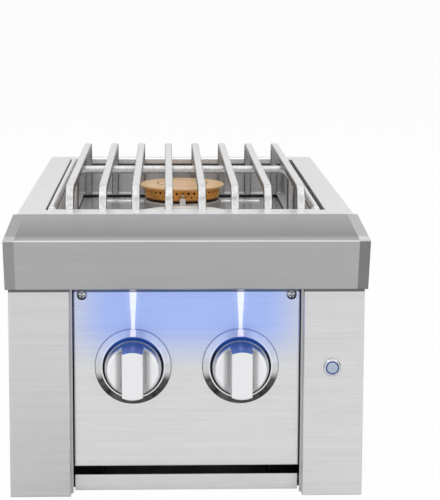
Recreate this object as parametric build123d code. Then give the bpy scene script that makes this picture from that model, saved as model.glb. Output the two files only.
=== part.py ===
from build123d import *
from math import hypot, sqrt
import os

# Driving sizes in millimetres. Set-backs run from the front faces of the posts towards the rear.

# Sheet metal
SHEET = 1.2
HEAVY_SHEET = 1.5
BEND = 2.0

# Posts, panel and rail
BODY_WIDTH = 335.0
POST_WIDTH = 57.3
POST_DEPTH = 30.0
PANEL_GAP = 3.2
PANEL_SET_BACK = 8.0
PANEL_BOTTOM = 27.8
PANEL_OVERLAP = 9.0
PANEL_FLANGE = 6.0
RAIL_SET_BACK = 19.0
RAIL_HEIGHT = 16.0

# Front cap
CAP_WIDTH = 340.4
CAP_BOTTOM = 201.0
CAP_NOSE_HEIGHT = 250.0
CAP_NOSE_REACH = 16.0
CAP_TOE_REACH = 1.5
CAP_LIP = 8.0
CAP_SEAM = 0.6

# Top deck
DECK_TOP = 258.5
DECK_SET_BACK = 92.3
DECK_DEPTH = 478.0
DECK_SKIRT = 12.0
DECK_RELIEF = 2.0
DECK_HEM = 8.0
DECK_CORNER = 5.0
SIDE_STRIP = 26.5
FRONT_STRIP = 26.1
REAR_STRIP = 24.3

# Box that drops into the counter
BOX_CLEARANCE = 5.0
REAR_OVERHANG = 20.8
WALL_FLANGE = 14.0

# Burner pan and drip tray
PAN_GAP_LEFT = 2.9
PAN_GAP_RIGHT = 5.6
PAN_GAP_FRONT = 1.0
PAN_GAP_REAR = 5.0
RIM_WIDTH = 5.5
FRONT_RIM = 4.0
RIM_CORNER = 3.0
RIM_RAISE = 2.5
RIM_ROUND = 2.4
RIM_LIP = 6.0
PAN_DEPTH = 42.0
PAN_CORNER = 5.0
PAN_FILLET = 1.2
PAN_LEDGE = 9.0
PAN_FRONT_DROP = 0.3
TRAY_INSET = 2.5
TRAY_HEM = 3.0
TRAY_SHADOW = 2.4
TRAY_SHEET = 1.0
TRAY_STEP = 2.5
TRAY_MARGIN = 27.0
TRAY_MARGIN_FRONT = 16.4
LEDGE_SHEET = 1.5
LEDGE_DROP = 18.0
LEDGE_REACH = 26.0

# Grate
BAR_COUNT = 8
BAR_SIZE = 8.4
BAR_ROUND = 1.6
BAR_FRONT_BEND = 14.0
BAR_REAR_BEND = 8.0
BAR_FRONT_GAP = 1.0
BAR_REAR_GAP = 3.2
GRATE_RISE = 23.0
ROD_DIAMETER = 9.0
ROD_BEND = 14.0
ROD_SINK = 1.0
ROD_OFFSET = 22.9
FOOT_GAP = 0.6
FOOT_INSET = 7.6
SEAT_GAP = 0.3

# Burners
BURNER_FRONT_MARGIN = 85.0
BURNER_REAR_MARGIN = 91.9
CAP_DIAMETER = 101.5
CAP_RIM = 2.3
CAP_CONE = 1.0
CAP_GROOVE_RADIUS = 30.0
RING_TOP_DIAMETER = 91.5
RING_FOOT_DIAMETER = 88.4
RING_HEIGHT = 15.5
RING_WALL = 3.2
SEAT_DIAMETER = 94.0
SEAT_HEIGHT = 11.9
BOWL_DIAMETER = 77.0
BOWL_DEPTH = 20.0
BOWL_WALL = 2.5
PORT_COUNT = 40
PORT_DIAMETER = 3.0
SMALL_PORT_DIAMETER = 1.6
PORT_DROP = 3.5
SMALL_PORT_DROP = 8.0
TUBE_DIAMETER = 21.6
TUBE_WALL = 1.2
TUBE_BEND = 26.0
SPIGOT_LENGTH = 10.0

# Igniters
CERAMIC_DIAMETER = 7.0
CERAMIC_GAP = 8.6
CERAMIC_RISE = 19.7
CERAMIC_DROP = 18.0
COLLAR_DIAMETER = 11.0
COLLAR_HEIGHT = 2.5
PIN_DIAMETER = 2.0
PIN_RISE = 4.0
PIN_TAIL = 5.0
SPARK_GAP = 3.5
LEAD_DIAMETER = 3.5

# Knobs, bezels and valves
KNOB_SPACING = 101.6
KNOB_HEIGHT = 125.6
KNOB_DIAMETER = 51.1
KNOB_DISC_FACE = 16.0
KNOB_EDGE = 4.5
KNOB_REACH = 38.0
KNOB_TRAVEL = 4.5
KNOB_SHELL = 4.0
HANDLE_WIDTH = 19.3
HANDLE_LENGTH = 46.3
HANDLE_FILLET = 7.0
HANDLE_BEVEL = 1.0
HANDLE_ROOT = 3.0
BEZEL_DIAMETER = 72.6
BEZEL_FRONT_DIAMETER = 59.6
BEZEL_BORE = 56.8
BEZEL_HEIGHT = 4.0
STEM_DIAMETER = 8.0
STEM_FLAT = 2.5
STEM_FIT = 0.05
STEM_HOLE = 22.0
CLIP_DIAMETER = 15.0
CLIP_THICKNESS = 1.2
CLIP_SET_BACK = 13.0
SPRING_WIRE = 1.2
SPRING_TURNS = 4
SPRING_LENGTH = 9.8
NOSE_DIAMETER = 18.0
NOSE_LENGTH = 14.0
BARREL_DIAMETER = 26.0
BARREL_LENGTH = 30.0
PAD_HALF = 7.0
PLUG_DIAMETER = 16.0
PLUG_LENGTH = 20.0
PLUG_INSET = 5.0
JET_HEX = 20.0
JET_LENGTH = 10.0
JET_DIAMETER = 9.0
JET_HOLE = 1.6
SPARK_WIDTH = 16.0

# Gas line
PIPE_DIAMETER = 21.3
PIPE_BORE = 16.0
PIPE_FIT = 0.05
MANIFOLD_DROP = 28.0
INLET_INSET = 34.0
ELBOW_ARM = 10.3
ELBOW_DIAMETER = 28.0
SOCKET_DEPTH = 12.0
BOSS_DIAMETER = 16.0
BOSS_HEIGHT = 13.0
INLET_DIAMETER = 20.6
INLET_LENGTH = 18.0
LOCKNUT_HEX = 30.0
LOCKNUT_THICKNESS = 8.0
BRACKET_INSET = 21.7
BRACKET_SHEET = 2.0
BRACKET_DEPTH = 30.0

# Lamps and switch
LAMP_DIAMETER = 5.6
LAMP_FLANGE = 6.6
LAMP_LENS = 4.0
LAMP_LENGTH = 15.0
SWITCH_INSET = 30.0
SWITCH_FLANGE = 16.6
SWITCH_FLANGE_HEIGHT = 2.2
SWITCH_BARREL = 14.0
SWITCH_LENGTH = 22.0
BLADE_SIDE = 3.0
BLADE_SHEET = 0.8
BLADE_LENGTH = 6.0
LIGHT_RING = 12.6
BUTTON_DIAMETER = 10.4
BUTTON_PROUD = 0.6
BUTTON_LENGTH = 9.0
BUTTON_TRAVEL = 2.0

# Screws, grommet and vents
SCREW_DIAMETER = 4.0
SCREW_FIT = 0.4
SCREW_HEAD = 9.5
SCREW_HEAD_HEIGHT = 3.0
SMALL_HEAD = 8.0
SMALL_HEAD_HEIGHT = 2.4
PANEL_SCREW_INSET = 8.1
PANEL_SCREW_DROP = 6.6
GROMMET_BORE = 8.0
GROMMET_HOLE = 16.0
GROMMET_FLANGE = 22.0
GROMMET_LIP = 2.0
GROMMET_INSET = 36.0
GROMMET_HEIGHT = 60.0
VENT_LENGTH = 60.0
VENT_WIDTH = 6.0

# Places that follow from the sizes
POST_INNER = BODY_WIDTH / 2 - POST_WIDTH
PANEL_HALF = POST_INNER - PANEL_GAP
DECK_REAR = DECK_SET_BACK + DECK_DEPTH
FACE_Y = -(DECK_REAR - KNOB_REACH + PANEL_SET_BACK) / 2
DECK_UNDER = DECK_TOP - HEAVY_SHEET
REAR_WALL = DECK_REAR - REAR_OVERHANG
OPENING_HALF = BODY_WIDTH / 2 - SIDE_STRIP
OPENING_FRONT = DECK_SET_BACK + FRONT_STRIP
OPENING_REAR = DECK_REAR - REAR_STRIP
BOX_WIDTH = 2 * (OPENING_HALF + BOX_CLEARANCE)
INLET_SIDE = BOX_WIDTH / 2 - INLET_INSET
MANIFOLD_REACH = INLET_SIDE - ELBOW_ARM
BRACKET_SIDE = MANIFOLD_REACH - BRACKET_INSET
GROMMET_SIDE = BOX_WIDTH / 2 - GROMMET_INSET
SWITCH_SIDE = BODY_WIDTH / 2 - SWITCH_INSET
PAN_LEFT = -OPENING_HALF + PAN_GAP_LEFT
PAN_RIGHT = OPENING_HALF - PAN_GAP_RIGHT
PAN_FRONT = OPENING_FRONT + PAN_GAP_FRONT
PAN_REAR = OPENING_REAR - PAN_GAP_REAR
PAN_FLOOR = DECK_TOP - PAN_DEPTH
RIM_TOP = DECK_TOP + RIM_RAISE
WELL_LEFT = PAN_LEFT + RIM_WIDTH
WELL_RIGHT = PAN_RIGHT - RIM_WIDTH
WELL_FRONT = PAN_FRONT + FRONT_RIM
WELL_REAR = PAN_REAR - RIM_WIDTH
TRAY_TOP = PAN_FLOOR - SHEET
TRAY_FLANGE = TRAY_TOP - TRAY_SHADOW
TRAY_SEAT = TRAY_FLANGE - TRAY_SHEET
TRAY_FLOOR = TRAY_FLANGE - TRAY_STEP
TRAY_UNDER = TRAY_FLOOR - TRAY_SHEET
BURNERS = {
    "front": WELL_FRONT + BURNER_FRONT_MARGIN,
    "rear": WELL_REAR - BURNER_REAR_MARGIN,
}
RING_FOOT = TRAY_FLOOR + SEAT_HEIGHT
RING_TOP = RING_FOOT + RING_HEIGHT
BOWL_BOTTOM = TRAY_FLOOR - BOWL_DEPTH
KNOB_SIDE = KNOB_SPACING / 2
CLIP_REAR = CLIP_SET_BACK + CLIP_THICKNESS
NOSE_FRONT = CLIP_REAR + SPRING_LENGTH
BARREL_FRONT = NOSE_FRONT + NOSE_LENGTH
BARREL_REAR = BARREL_FRONT + BARREL_LENGTH
PLUG_FRONT = BARREL_FRONT + PLUG_INSET
PLUG_REAR = PLUG_FRONT + PLUG_LENGTH
MANIFOLD_SET_BACK = BARREL_FRONT + BARREL_LENGTH / 2
MANIFOLD_HEIGHT = KNOB_HEIGHT - MANIFOLD_DROP
STEM_REAR = PLUG_REAR - KNOB_TRAVEL - 2.5
SIDES = {"left": -1, "right": 1}

parts = {}


def block(x0, x1, y0, y1, z0, z1):
    """Box between two corners, its Y measured from the post faces."""
    return Pos((x0 + x1) / 2, FACE_Y + (y0 + y1) / 2, (z0 + z1) / 2) * Box(
        abs(x1 - x0), abs(y1 - y0), abs(z1 - z0)
    )


def rod_x(y, z, x0, x1, diameter):
    """Round bar along X."""
    return Pos((x0 + x1) / 2, FACE_Y + y, z) * Rot(0, 90, 0) * Cylinder(diameter / 2, abs(x1 - x0))


def rod_y(x, z, y0, y1, diameter):
    """Round bar along Y."""
    return Pos(x, FACE_Y + (y0 + y1) / 2, z) * Rot(90, 0, 0) * Cylinder(diameter / 2, y1 - y0)


def rod_z(x, y, z0, z1, diameter):
    """Round bar along Z."""
    return Pos(x, FACE_Y + y, (z0 + z1) / 2) * Cylinder(diameter / 2, z1 - z0)


def turned(profile):
    """Solid of revolution about Z from (radius, height) points."""
    return revolve(Plane.XZ * make_face(Polyline(*profile, close=True)), Axis.Z)


def at_front(x, y, z, shape):
    """Shape built along Z turned to look forwards from the set-back y."""
    return Pos(x, FACE_Y + y, z) * Rot(90, 0, 0) * shape


def rounded_plate(x0, x1, y0, y1, z0, z1, corner):
    """Flat plate with round corners in plan."""
    sketch = RectangleRounded(x1 - x0, y1 - y0, corner)
    return Pos((x0 + x1) / 2, FACE_Y + (y0 + y1) / 2, z0) * extrude(sketch, z1 - z0)


def pipe_along(points, bend, outer, inner=0):
    """Round pipe or rod carried along a bent path."""
    path = FilletPolyline(*[(x, FACE_Y + y, z) for x, y, z in points], radius=bend)
    section = Circle(outer / 2)
    if inner:
        section = section - Circle(inner / 2)
    return sweep(Plane(path @ 0, z_dir=path % 0) * section, path)


def hex_bar_y(x, z, y0, y1, across):
    """Hexagon bar along Y."""
    section = RegularPolygon(across / 2, 6, major_radius=False)
    return Pos(x, FACE_Y + y1, z) * Rot(90, 0, 0) * extrude(section, y1 - y0)


def inset_path(points, inset):
    """Copy of an open path moved to its right by the inset."""
    moved = []
    last = len(points) - 1
    for i, (y, z) in enumerate(points):
        normals = []
        for j in (i - 1, i):
            if 0 <= j < last:
                dy = points[j + 1][0] - points[j][0]
                dz = points[j + 1][1] - points[j][1]
                length = hypot(dy, dz)
                normals.append((dz / length, -dy / length))
        ny = sum(n[0] for n in normals)
        nz = sum(n[1] for n in normals)
        scale = inset * len(normals) / (ny * ny + nz * nz)
        if len(normals) == 1:
            scale = inset
        moved.append((y + ny * scale, z + nz * scale))
    return moved


def folded_sheet(points, sheet, bend, x0, x1):
    """Sheet folded along an open path of (y, z) points and run from x0 to x1."""
    outer = FilletPolyline(*points, radius=bend)
    inner = FilletPolyline(*inset_path(points, sheet), radius=bend - sheet)
    edges = outer.edges() + inner.edges() + [Line(outer @ 0, inner @ 0), Line(outer @ 1, inner @ 1)]
    return Pos(x0, FACE_Y, 0) * extrude(Plane.YZ * make_face(edges), x1 - x0)


def make_posts():
    """Two folded front posts, closed at the foot."""
    for name, side in SIDES.items():
        x0 = min(side * POST_INNER, side * BODY_WIDTH / 2)
        x1 = x0 + POST_WIDTH
        post = block(x0, x1, 0, POST_DEPTH, 0, CAP_BOTTOM)
        front = post.faces().sort_by(Axis.Y)[0]
        corners = front.edges().filter_by(Axis.Z) + front.edges().sort_by(Axis.Z)[:1]
        post = fillet(corners, BEND)
        hollow = block(x0 + SHEET, x1 - SHEET, SHEET, POST_DEPTH + SHEET, SHEET, CAP_BOTTOM + SHEET)
        hollow_front = hollow.faces().sort_by(Axis.Y)[0]
        hollow = fillet(hollow_front.edges().filter_by(Axis.Z), BEND - SHEET)
        post -= hollow
        if side > 0:
            post -= rod_y(SWITCH_SIDE, KNOB_HEIGHT, -1, SHEET + 1, SWITCH_BARREL + SCREW_FIT)
        parts[name + "_post"] = post


def make_walls():
    """Side walls, rear wall and base pan of the box."""
    half = BOX_WIDTH / 2
    wall_front = POST_DEPTH
    notch_top = DECK_TOP - DECK_SKIRT - 1.0
    screw_hole = SCREW_DIAMETER + SCREW_FIT
    for name, side in SIDES.items():
        wall = block(side * (half - SHEET), side * half, wall_front, REAR_WALL, SHEET, DECK_UNDER)
        wall += block(side * POST_INNER, side * half, wall_front, wall_front + SHEET, SHEET, CAP_BOTTOM)
        flange_inner = half - WALL_FLANGE
        wall += block(side * flange_inner, side * half, REAR_WALL - SHEET, REAR_WALL, SHEET, DECK_UNDER)
        notch_inner = side * (POST_INNER - SHEET)
        notch_rear = DECK_SET_BACK + 4.0
        wall -= block(notch_inner, side * (half + 1), wall_front - 1, notch_rear, notch_top, DECK_TOP)
        for y in ledge_screws():
            wall -= rod_x(y, ledge_screw_height(), side * (half - 4), side * (half + 1), screw_hole)
        for z in rear_screws():
            x = side * (half - WALL_FLANGE / 2)
            wall -= rod_y(x, z, REAR_WALL - 3, REAR_WALL + 1, screw_hole)
        parts[name + "_side_wall"] = wall

    rear = block(-half, half, REAR_WALL, REAR_WALL + SHEET, SHEET, DECK_UNDER)
    rear -= rod_y(INLET_SIDE, MANIFOLD_HEIGHT, REAR_WALL - 1, REAR_WALL + 3, PIPE_DIAMETER + SCREW_FIT)
    rear -= rod_y(-GROMMET_SIDE, GROMMET_HEIGHT, REAR_WALL - 1, REAR_WALL + 3, GROMMET_HOLE)
    for side in SIDES.values():
        for z in rear_screws():
            x = side * (half - WALL_FLANGE / 2)
            rear -= rod_y(x, z, REAR_WALL - 1, REAR_WALL + 3, screw_hole)
    for row in range(4):
        z = CAP_BOTTOM - 15 - row * 3 * VENT_WIDTH
        for side in (-0.75, 0.75):
            slot = Pos(side * VENT_LENGTH, FACE_Y + REAR_WALL + SHEET / 2, z) * Rot(90, 0, 0)
            rear -= slot * extrude(SlotOverall(VENT_LENGTH, VENT_WIDTH), SHEET, both=True)
    parts["rear_wall"] = rear

    base = block(-half, half, POST_DEPTH, REAR_WALL + SHEET, 0, SHEET)
    lip = [
        (POST_DEPTH + SHEET, 0),
        (RAIL_SET_BACK, 0),
        (RAIL_SET_BACK, RAIL_HEIGHT),
    ]
    base += folded_sheet(lip, SHEET, BEND, -PANEL_HALF, PANEL_HALF)
    for row in range(5):
        y = REAR_WALL * (0.3 + 0.12 * row)
        for side in (-0.75, 0.75):
            slot = Pos(side * VENT_LENGTH, FACE_Y + y, SHEET / 2)
            base -= slot * extrude(SlotOverall(VENT_LENGTH, VENT_WIDTH), SHEET, both=True)
    parts["base_pan"] = base


def ledge_screws():
    """Set-backs of the screws that hold the tray ledges."""
    return [WELL_FRONT + share * (WELL_REAR - WELL_FRONT) for share in (0.12, 0.5, 0.88)]


def ledge_screw_height():
    """Height of the ledge screws."""
    return TRAY_SEAT - LEDGE_DROP / 2 - LEDGE_SHEET / 2


def rear_screws():
    """Heights of the rear wall's screws on each side."""
    return [DECK_UNDER * share for share in (0.12, 0.5, 0.88)]


def make_panel():
    """Control panel and the cross member behind it."""
    top = CAP_BOTTOM + PANEL_OVERLAP
    rear = PANEL_SET_BACK + PANEL_FLANGE
    panel = block(-PANEL_HALF, PANEL_HALF, PANEL_SET_BACK, rear, PANEL_BOTTOM, top)
    front = panel.faces().sort_by(Axis.Y)[0]
    corners = front.edges().filter_by(Axis.Z) + front.edges().sort_by(Axis.Z)[:1]
    panel = fillet(corners, BEND)
    panel -= block(
        -PANEL_HALF + SHEET,
        PANEL_HALF - SHEET,
        PANEL_SET_BACK + SHEET,
        rear + 1,
        PANEL_BOTTOM + SHEET,
        top + 1,
    )
    member_foot = panel_screw_height() - 12
    member = block(-POST_INNER, POST_INNER, rear, rear + SHEET, member_foot, top)
    for side in SIDES.values():
        member_end = side * (POST_INNER - SHEET)
        member += block(member_end, side * POST_INNER, rear, POST_DEPTH, member_foot, CAP_BOTTOM)
        x = side * panel_screw_side()
        hole = rod_y(x, panel_screw_height(), PANEL_SET_BACK - 1, rear + 3, SCREW_DIAMETER + SCREW_FIT)
        panel -= hole
        member -= hole
        stem_hole = CLIP_DIAMETER + 5.0
        panel -= rod_y(side * KNOB_SIDE, KNOB_HEIGHT, PANEL_SET_BACK - 1, rear, stem_hole)
    parts["control_panel"] = panel
    parts["panel_cross_member"] = member


def panel_screw_side():
    """Distance of each panel screw from the middle."""
    return PANEL_HALF - PANEL_SCREW_INSET


def panel_screw_height():
    """Height of the panel screws."""
    return CAP_BOTTOM - PANEL_SCREW_DROP


def lamp_set_back():
    """Set-back of the lamps in the cap's lip."""
    return PANEL_SET_BACK - CAP_LIP / 2 - 1.1


def make_front_cap():
    """Folded front cap with closed ends and a lip that carries the lamps."""
    rear = DECK_SET_BACK - CAP_SEAM
    skirt = DECK_TOP - DECK_SKIRT
    path = [
        (PANEL_SET_BACK - CAP_TOE_REACH, CAP_BOTTOM),
        (-CAP_TOE_REACH, CAP_BOTTOM),
        (-CAP_NOSE_REACH, CAP_NOSE_HEIGHT),
        (rear, DECK_TOP),
        (rear, skirt),
    ]
    half = CAP_WIDTH / 2
    cap = folded_sheet(path, HEAVY_SHEET, BEND, -half, half)
    outer = FilletPolyline(*path, radius=BEND)
    closing = Polyline(path[-1], (POST_DEPTH, skirt), (POST_DEPTH, CAP_BOTTOM), path[0])
    end = make_face(outer.edges() + closing.edges())
    for x in (-half, half - HEAVY_SHEET):
        cap += Pos(x, FACE_Y, 0) * extrude(Plane.YZ * end, HEAVY_SHEET)
    for side in SIDES.values():
        lip_top = CAP_BOTTOM + HEAVY_SHEET + 1
        hole = LAMP_DIAMETER + SCREW_FIT
        cap -= rod_z(side * KNOB_SIDE, lamp_set_back(), CAP_BOTTOM - 1, lip_top, hole)
    parts["front_cap"] = cap


def make_deck():
    """Folded top deck with the burner opening."""
    half = BODY_WIDTH / 2
    skirt = DECK_TOP - DECK_SKIRT
    deck = block(-half, half, DECK_SET_BACK, DECK_REAR, skirt, DECK_TOP)
    rear_corners = deck.edges().filter_by(Axis.Z).group_by(Axis.Y)[-1]
    deck = fillet(rear_corners, DECK_CORNER)
    top_edges = deck.faces().sort_by(Axis.Z)[-1].edges()
    deck = fillet(top_edges - top_edges.sort_by(Axis.Y)[:1], BEND)
    deck -= block(
        -half + HEAVY_SHEET,
        half - HEAVY_SHEET,
        DECK_SET_BACK + HEAVY_SHEET,
        DECK_REAR - DECK_CORNER,
        skirt - 1,
        DECK_UNDER,
    )
    deck -= rounded_plate(
        -half + HEAVY_SHEET,
        half - HEAVY_SHEET,
        DECK_SET_BACK + 4 * DECK_CORNER,
        DECK_REAR - HEAVY_SHEET,
        skirt - 1,
        DECK_UNDER,
        DECK_CORNER - HEAVY_SHEET,
    )
    deck -= block(
        -half + HEAVY_SHEET,
        half - HEAVY_SHEET,
        DECK_SET_BACK - 1,
        DECK_SET_BACK + HEAVY_SHEET + 1,
        skirt - 1,
        skirt + DECK_RELIEF,
    )
    hole = (-OPENING_HALF, OPENING_HALF, OPENING_FRONT, OPENING_REAR)
    wide = (
        -OPENING_HALF - HEAVY_SHEET,
        OPENING_HALF + HEAVY_SHEET,
        OPENING_FRONT - HEAVY_SHEET,
        OPENING_REAR + HEAVY_SHEET,
    )
    deck += rounded_plate(*wide, DECK_TOP - DECK_HEM, DECK_UNDER, RIM_CORNER + HEAVY_SHEET)
    deck -= rounded_plate(*hole, skirt - 1, DECK_TOP + 1, RIM_CORNER)
    inner_edges = deck.faces().sort_by(Axis.Z)[-1].inner_wires()[0].edges()
    deck = fillet(inner_edges, HEAVY_SHEET / 2)
    parts["top_deck"] = deck


def make_pan():
    """Burner pan with a rim raised on three sides and flush in front, the drip tray and its ledges."""
    well = (WELL_LEFT, WELL_RIGHT, WELL_FRONT, WELL_REAR)
    shell = (WELL_LEFT - SHEET, WELL_RIGHT + SHEET, WELL_FRONT - SHEET, WELL_REAR + SHEET)
    rim = block(PAN_LEFT, PAN_RIGHT, PAN_FRONT, PAN_REAR, RIM_TOP - RIM_LIP, RIM_TOP)
    rim = fillet(rim.edges().filter_by(Axis.Z).group_by(Axis.Y)[-1], RIM_CORNER)
    top_edges = rim.faces().sort_by(Axis.Z)[-1].edges()
    rim = fillet(top_edges - top_edges.sort_by(Axis.Y)[:1], BEND)
    pan = rounded_plate(*shell, TRAY_TOP, RIM_TOP, PAN_CORNER + SHEET)
    pan = fillet(pan.faces().sort_by(Axis.Z)[0].edges(), PAN_FILLET)
    pan += rim
    under_rim = rounded_plate(
        PAN_LEFT + SHEET,
        PAN_RIGHT - SHEET,
        WELL_FRONT,
        PAN_REAR - SHEET,
        RIM_TOP - RIM_LIP - 1,
        RIM_TOP - SHEET,
        RIM_CORNER - SHEET,
    )
    pan -= under_rim - rounded_plate(*shell, RIM_TOP - RIM_LIP - 2, RIM_TOP, PAN_CORNER + SHEET)
    cavity = rounded_plate(*well, PAN_FLOOR, RIM_TOP + 1, PAN_CORNER)
    cavity = fillet(cavity.faces().sort_by(Axis.Z)[0].edges(), PAN_FILLET)
    pan -= cavity
    pan -= rounded_plate(
        WELL_LEFT + PAN_LEDGE,
        WELL_RIGHT - PAN_LEDGE,
        WELL_FRONT + PAN_LEDGE,
        WELL_REAR - PAN_LEDGE,
        TRAY_TOP - 1,
        PAN_FLOOR + 1,
        PAN_CORNER / 2,
    )
    inner_rim = pan.faces().sort_by(Axis.Z)[-1].inner_wires()[0].edges()
    pan = fillet(inner_rim, RIM_ROUND)
    pan -= block(
        WELL_LEFT,
        WELL_RIGHT,
        PAN_FRONT - 1,
        WELL_FRONT + SHEET,
        DECK_TOP - PAN_FRONT_DROP,
        RIM_TOP + 1,
    )
    parts["burner_pan"] = pan

    x0 = WELL_LEFT + TRAY_INSET
    x1 = WELL_RIGHT - TRAY_INSET
    y0 = WELL_FRONT + TRAY_INSET
    y1 = WELL_REAR - TRAY_INSET
    tray = rounded_plate(x0, x1, y0, y1, TRAY_SEAT, TRAY_TOP, PAN_CORNER)
    hem = TRAY_HEM
    flange = (x0 + hem, x1 - hem, y0 + hem, y1 - hem)
    tray -= rounded_plate(*flange, TRAY_FLANGE, TRAY_TOP + 1, PAN_CORNER - hem)
    m = TRAY_MARGIN
    front = TRAY_MARGIN_FRONT
    t = TRAY_SHEET
    dish = (x0 + m - t, x1 - m + t, y0 + front - t, y1 - m + t)
    tray += rounded_plate(*dish, TRAY_UNDER, TRAY_SEAT, PAN_CORNER)
    recess = rounded_plate(x0 + m, x1 - m, y0 + front, y1 - m, TRAY_FLOOR, TRAY_TOP, PAN_CORNER - t)
    tray -= fillet(recess.faces().sort_by(Axis.Z)[0].edges(), t)
    for y in BURNERS.values():
        tray -= rod_z(0, y, TRAY_UNDER - 1, TRAY_TOP, BOWL_DIAMETER + 2 * SCREW_FIT)
        tray -= rod_z(0, igniter_set_back(y), TRAY_UNDER - 1, TRAY_TOP, CERAMIC_DIAMETER + SCREW_FIT)
        for side in SIDES.values():
            x = side * burner_screw_side()
            tray -= rod_z(x, y, TRAY_UNDER - 1, TRAY_TOP, SCREW_DIAMETER + SCREW_FIT)
    parts["drip_tray"] = tray

    half = BOX_WIDTH / 2 - SHEET
    screw_hole = SCREW_DIAMETER + SCREW_FIT
    for name, side in SIDES.items():
        x = side * half
        shelf = side * (half - LEDGE_REACH)
        web = side * (half - LEDGE_SHEET)
        ledge = block(shelf, x, WELL_FRONT, WELL_REAR, TRAY_SEAT - LEDGE_SHEET, TRAY_SEAT)
        ledge += block(web, x, WELL_FRONT, WELL_REAR, TRAY_SEAT - LEDGE_DROP, TRAY_SEAT)
        for y in ledge_screws():
            ledge -= rod_x(y, ledge_screw_height(), side * (half - 4), side * (half + 1), screw_hole)
        parts[name + "_tray_ledge"] = ledge


def make_grate():
    """Eight bent bars welded on one cross rod whose ends are its feet."""
    foot = PAN_FLOOR + SEAT_GAP
    top = DECK_TOP + GRATE_RISE
    middle = top - BAR_SIZE / 2
    front = WELL_FRONT + BAR_FRONT_GAP + BAR_SIZE / 2
    rear = WELL_REAR - BAR_REAR_GAP - BAR_SIZE / 2
    rod_end = WELL_RIGHT - FOOT_GAP - ROD_DIAMETER / 2
    first = rod_end - FOOT_INSET
    pitch = 2 * first / (BAR_COUNT - 1)
    bar_section = RectangleRounded(BAR_SIZE, BAR_SIZE, BAR_ROUND)
    grate = None
    for i in range(BAR_COUNT):
        x = -first + i * pitch
        path = FilletPolyline(
            (x, FACE_Y + front, foot),
            (x, FACE_Y + front, middle),
            (x, FACE_Y + rear, middle),
            (x, FACE_Y + rear, foot),
            radius=(BAR_FRONT_BEND, BAR_REAR_BEND),
        )
        bar = sweep(Plane(path @ 0, x_dir=(1, 0, 0), z_dir=path % 0) * bar_section, path)
        grate = bar if grate is None else grate + bar
    y = (front + rear) / 2 + ROD_OFFSET
    z = top - BAR_SIZE - ROD_DIAMETER / 2 + ROD_SINK
    tip_height = ROD_DIAMETER / 4
    low = foot + tip_height
    rod_run = [(-rod_end, y, low), (-rod_end, y, z), (rod_end, y, z), (rod_end, y, low)]
    rod = pipe_along(rod_run, ROD_BEND, ROD_DIAMETER)
    tip = turned([(0, 0), (tip_height, 0), (ROD_DIAMETER / 2, tip_height), (0, tip_height)])
    for side in SIDES.values():
        rod += Pos(side * rod_end, FACE_Y + y, foot) * tip
    parts["grate"] = grate + rod


def igniter_set_back(burner):
    """Set-back of the igniter in front of a burner."""
    return burner - RING_TOP_DIAMETER / 2 - CERAMIC_GAP - CERAMIC_DIAMETER / 2


def burner_screw_side():
    """Distance of a burner screw from the burner's axis."""
    return (SEAT_DIAMETER + BOWL_DIAMETER) / 4


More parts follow.
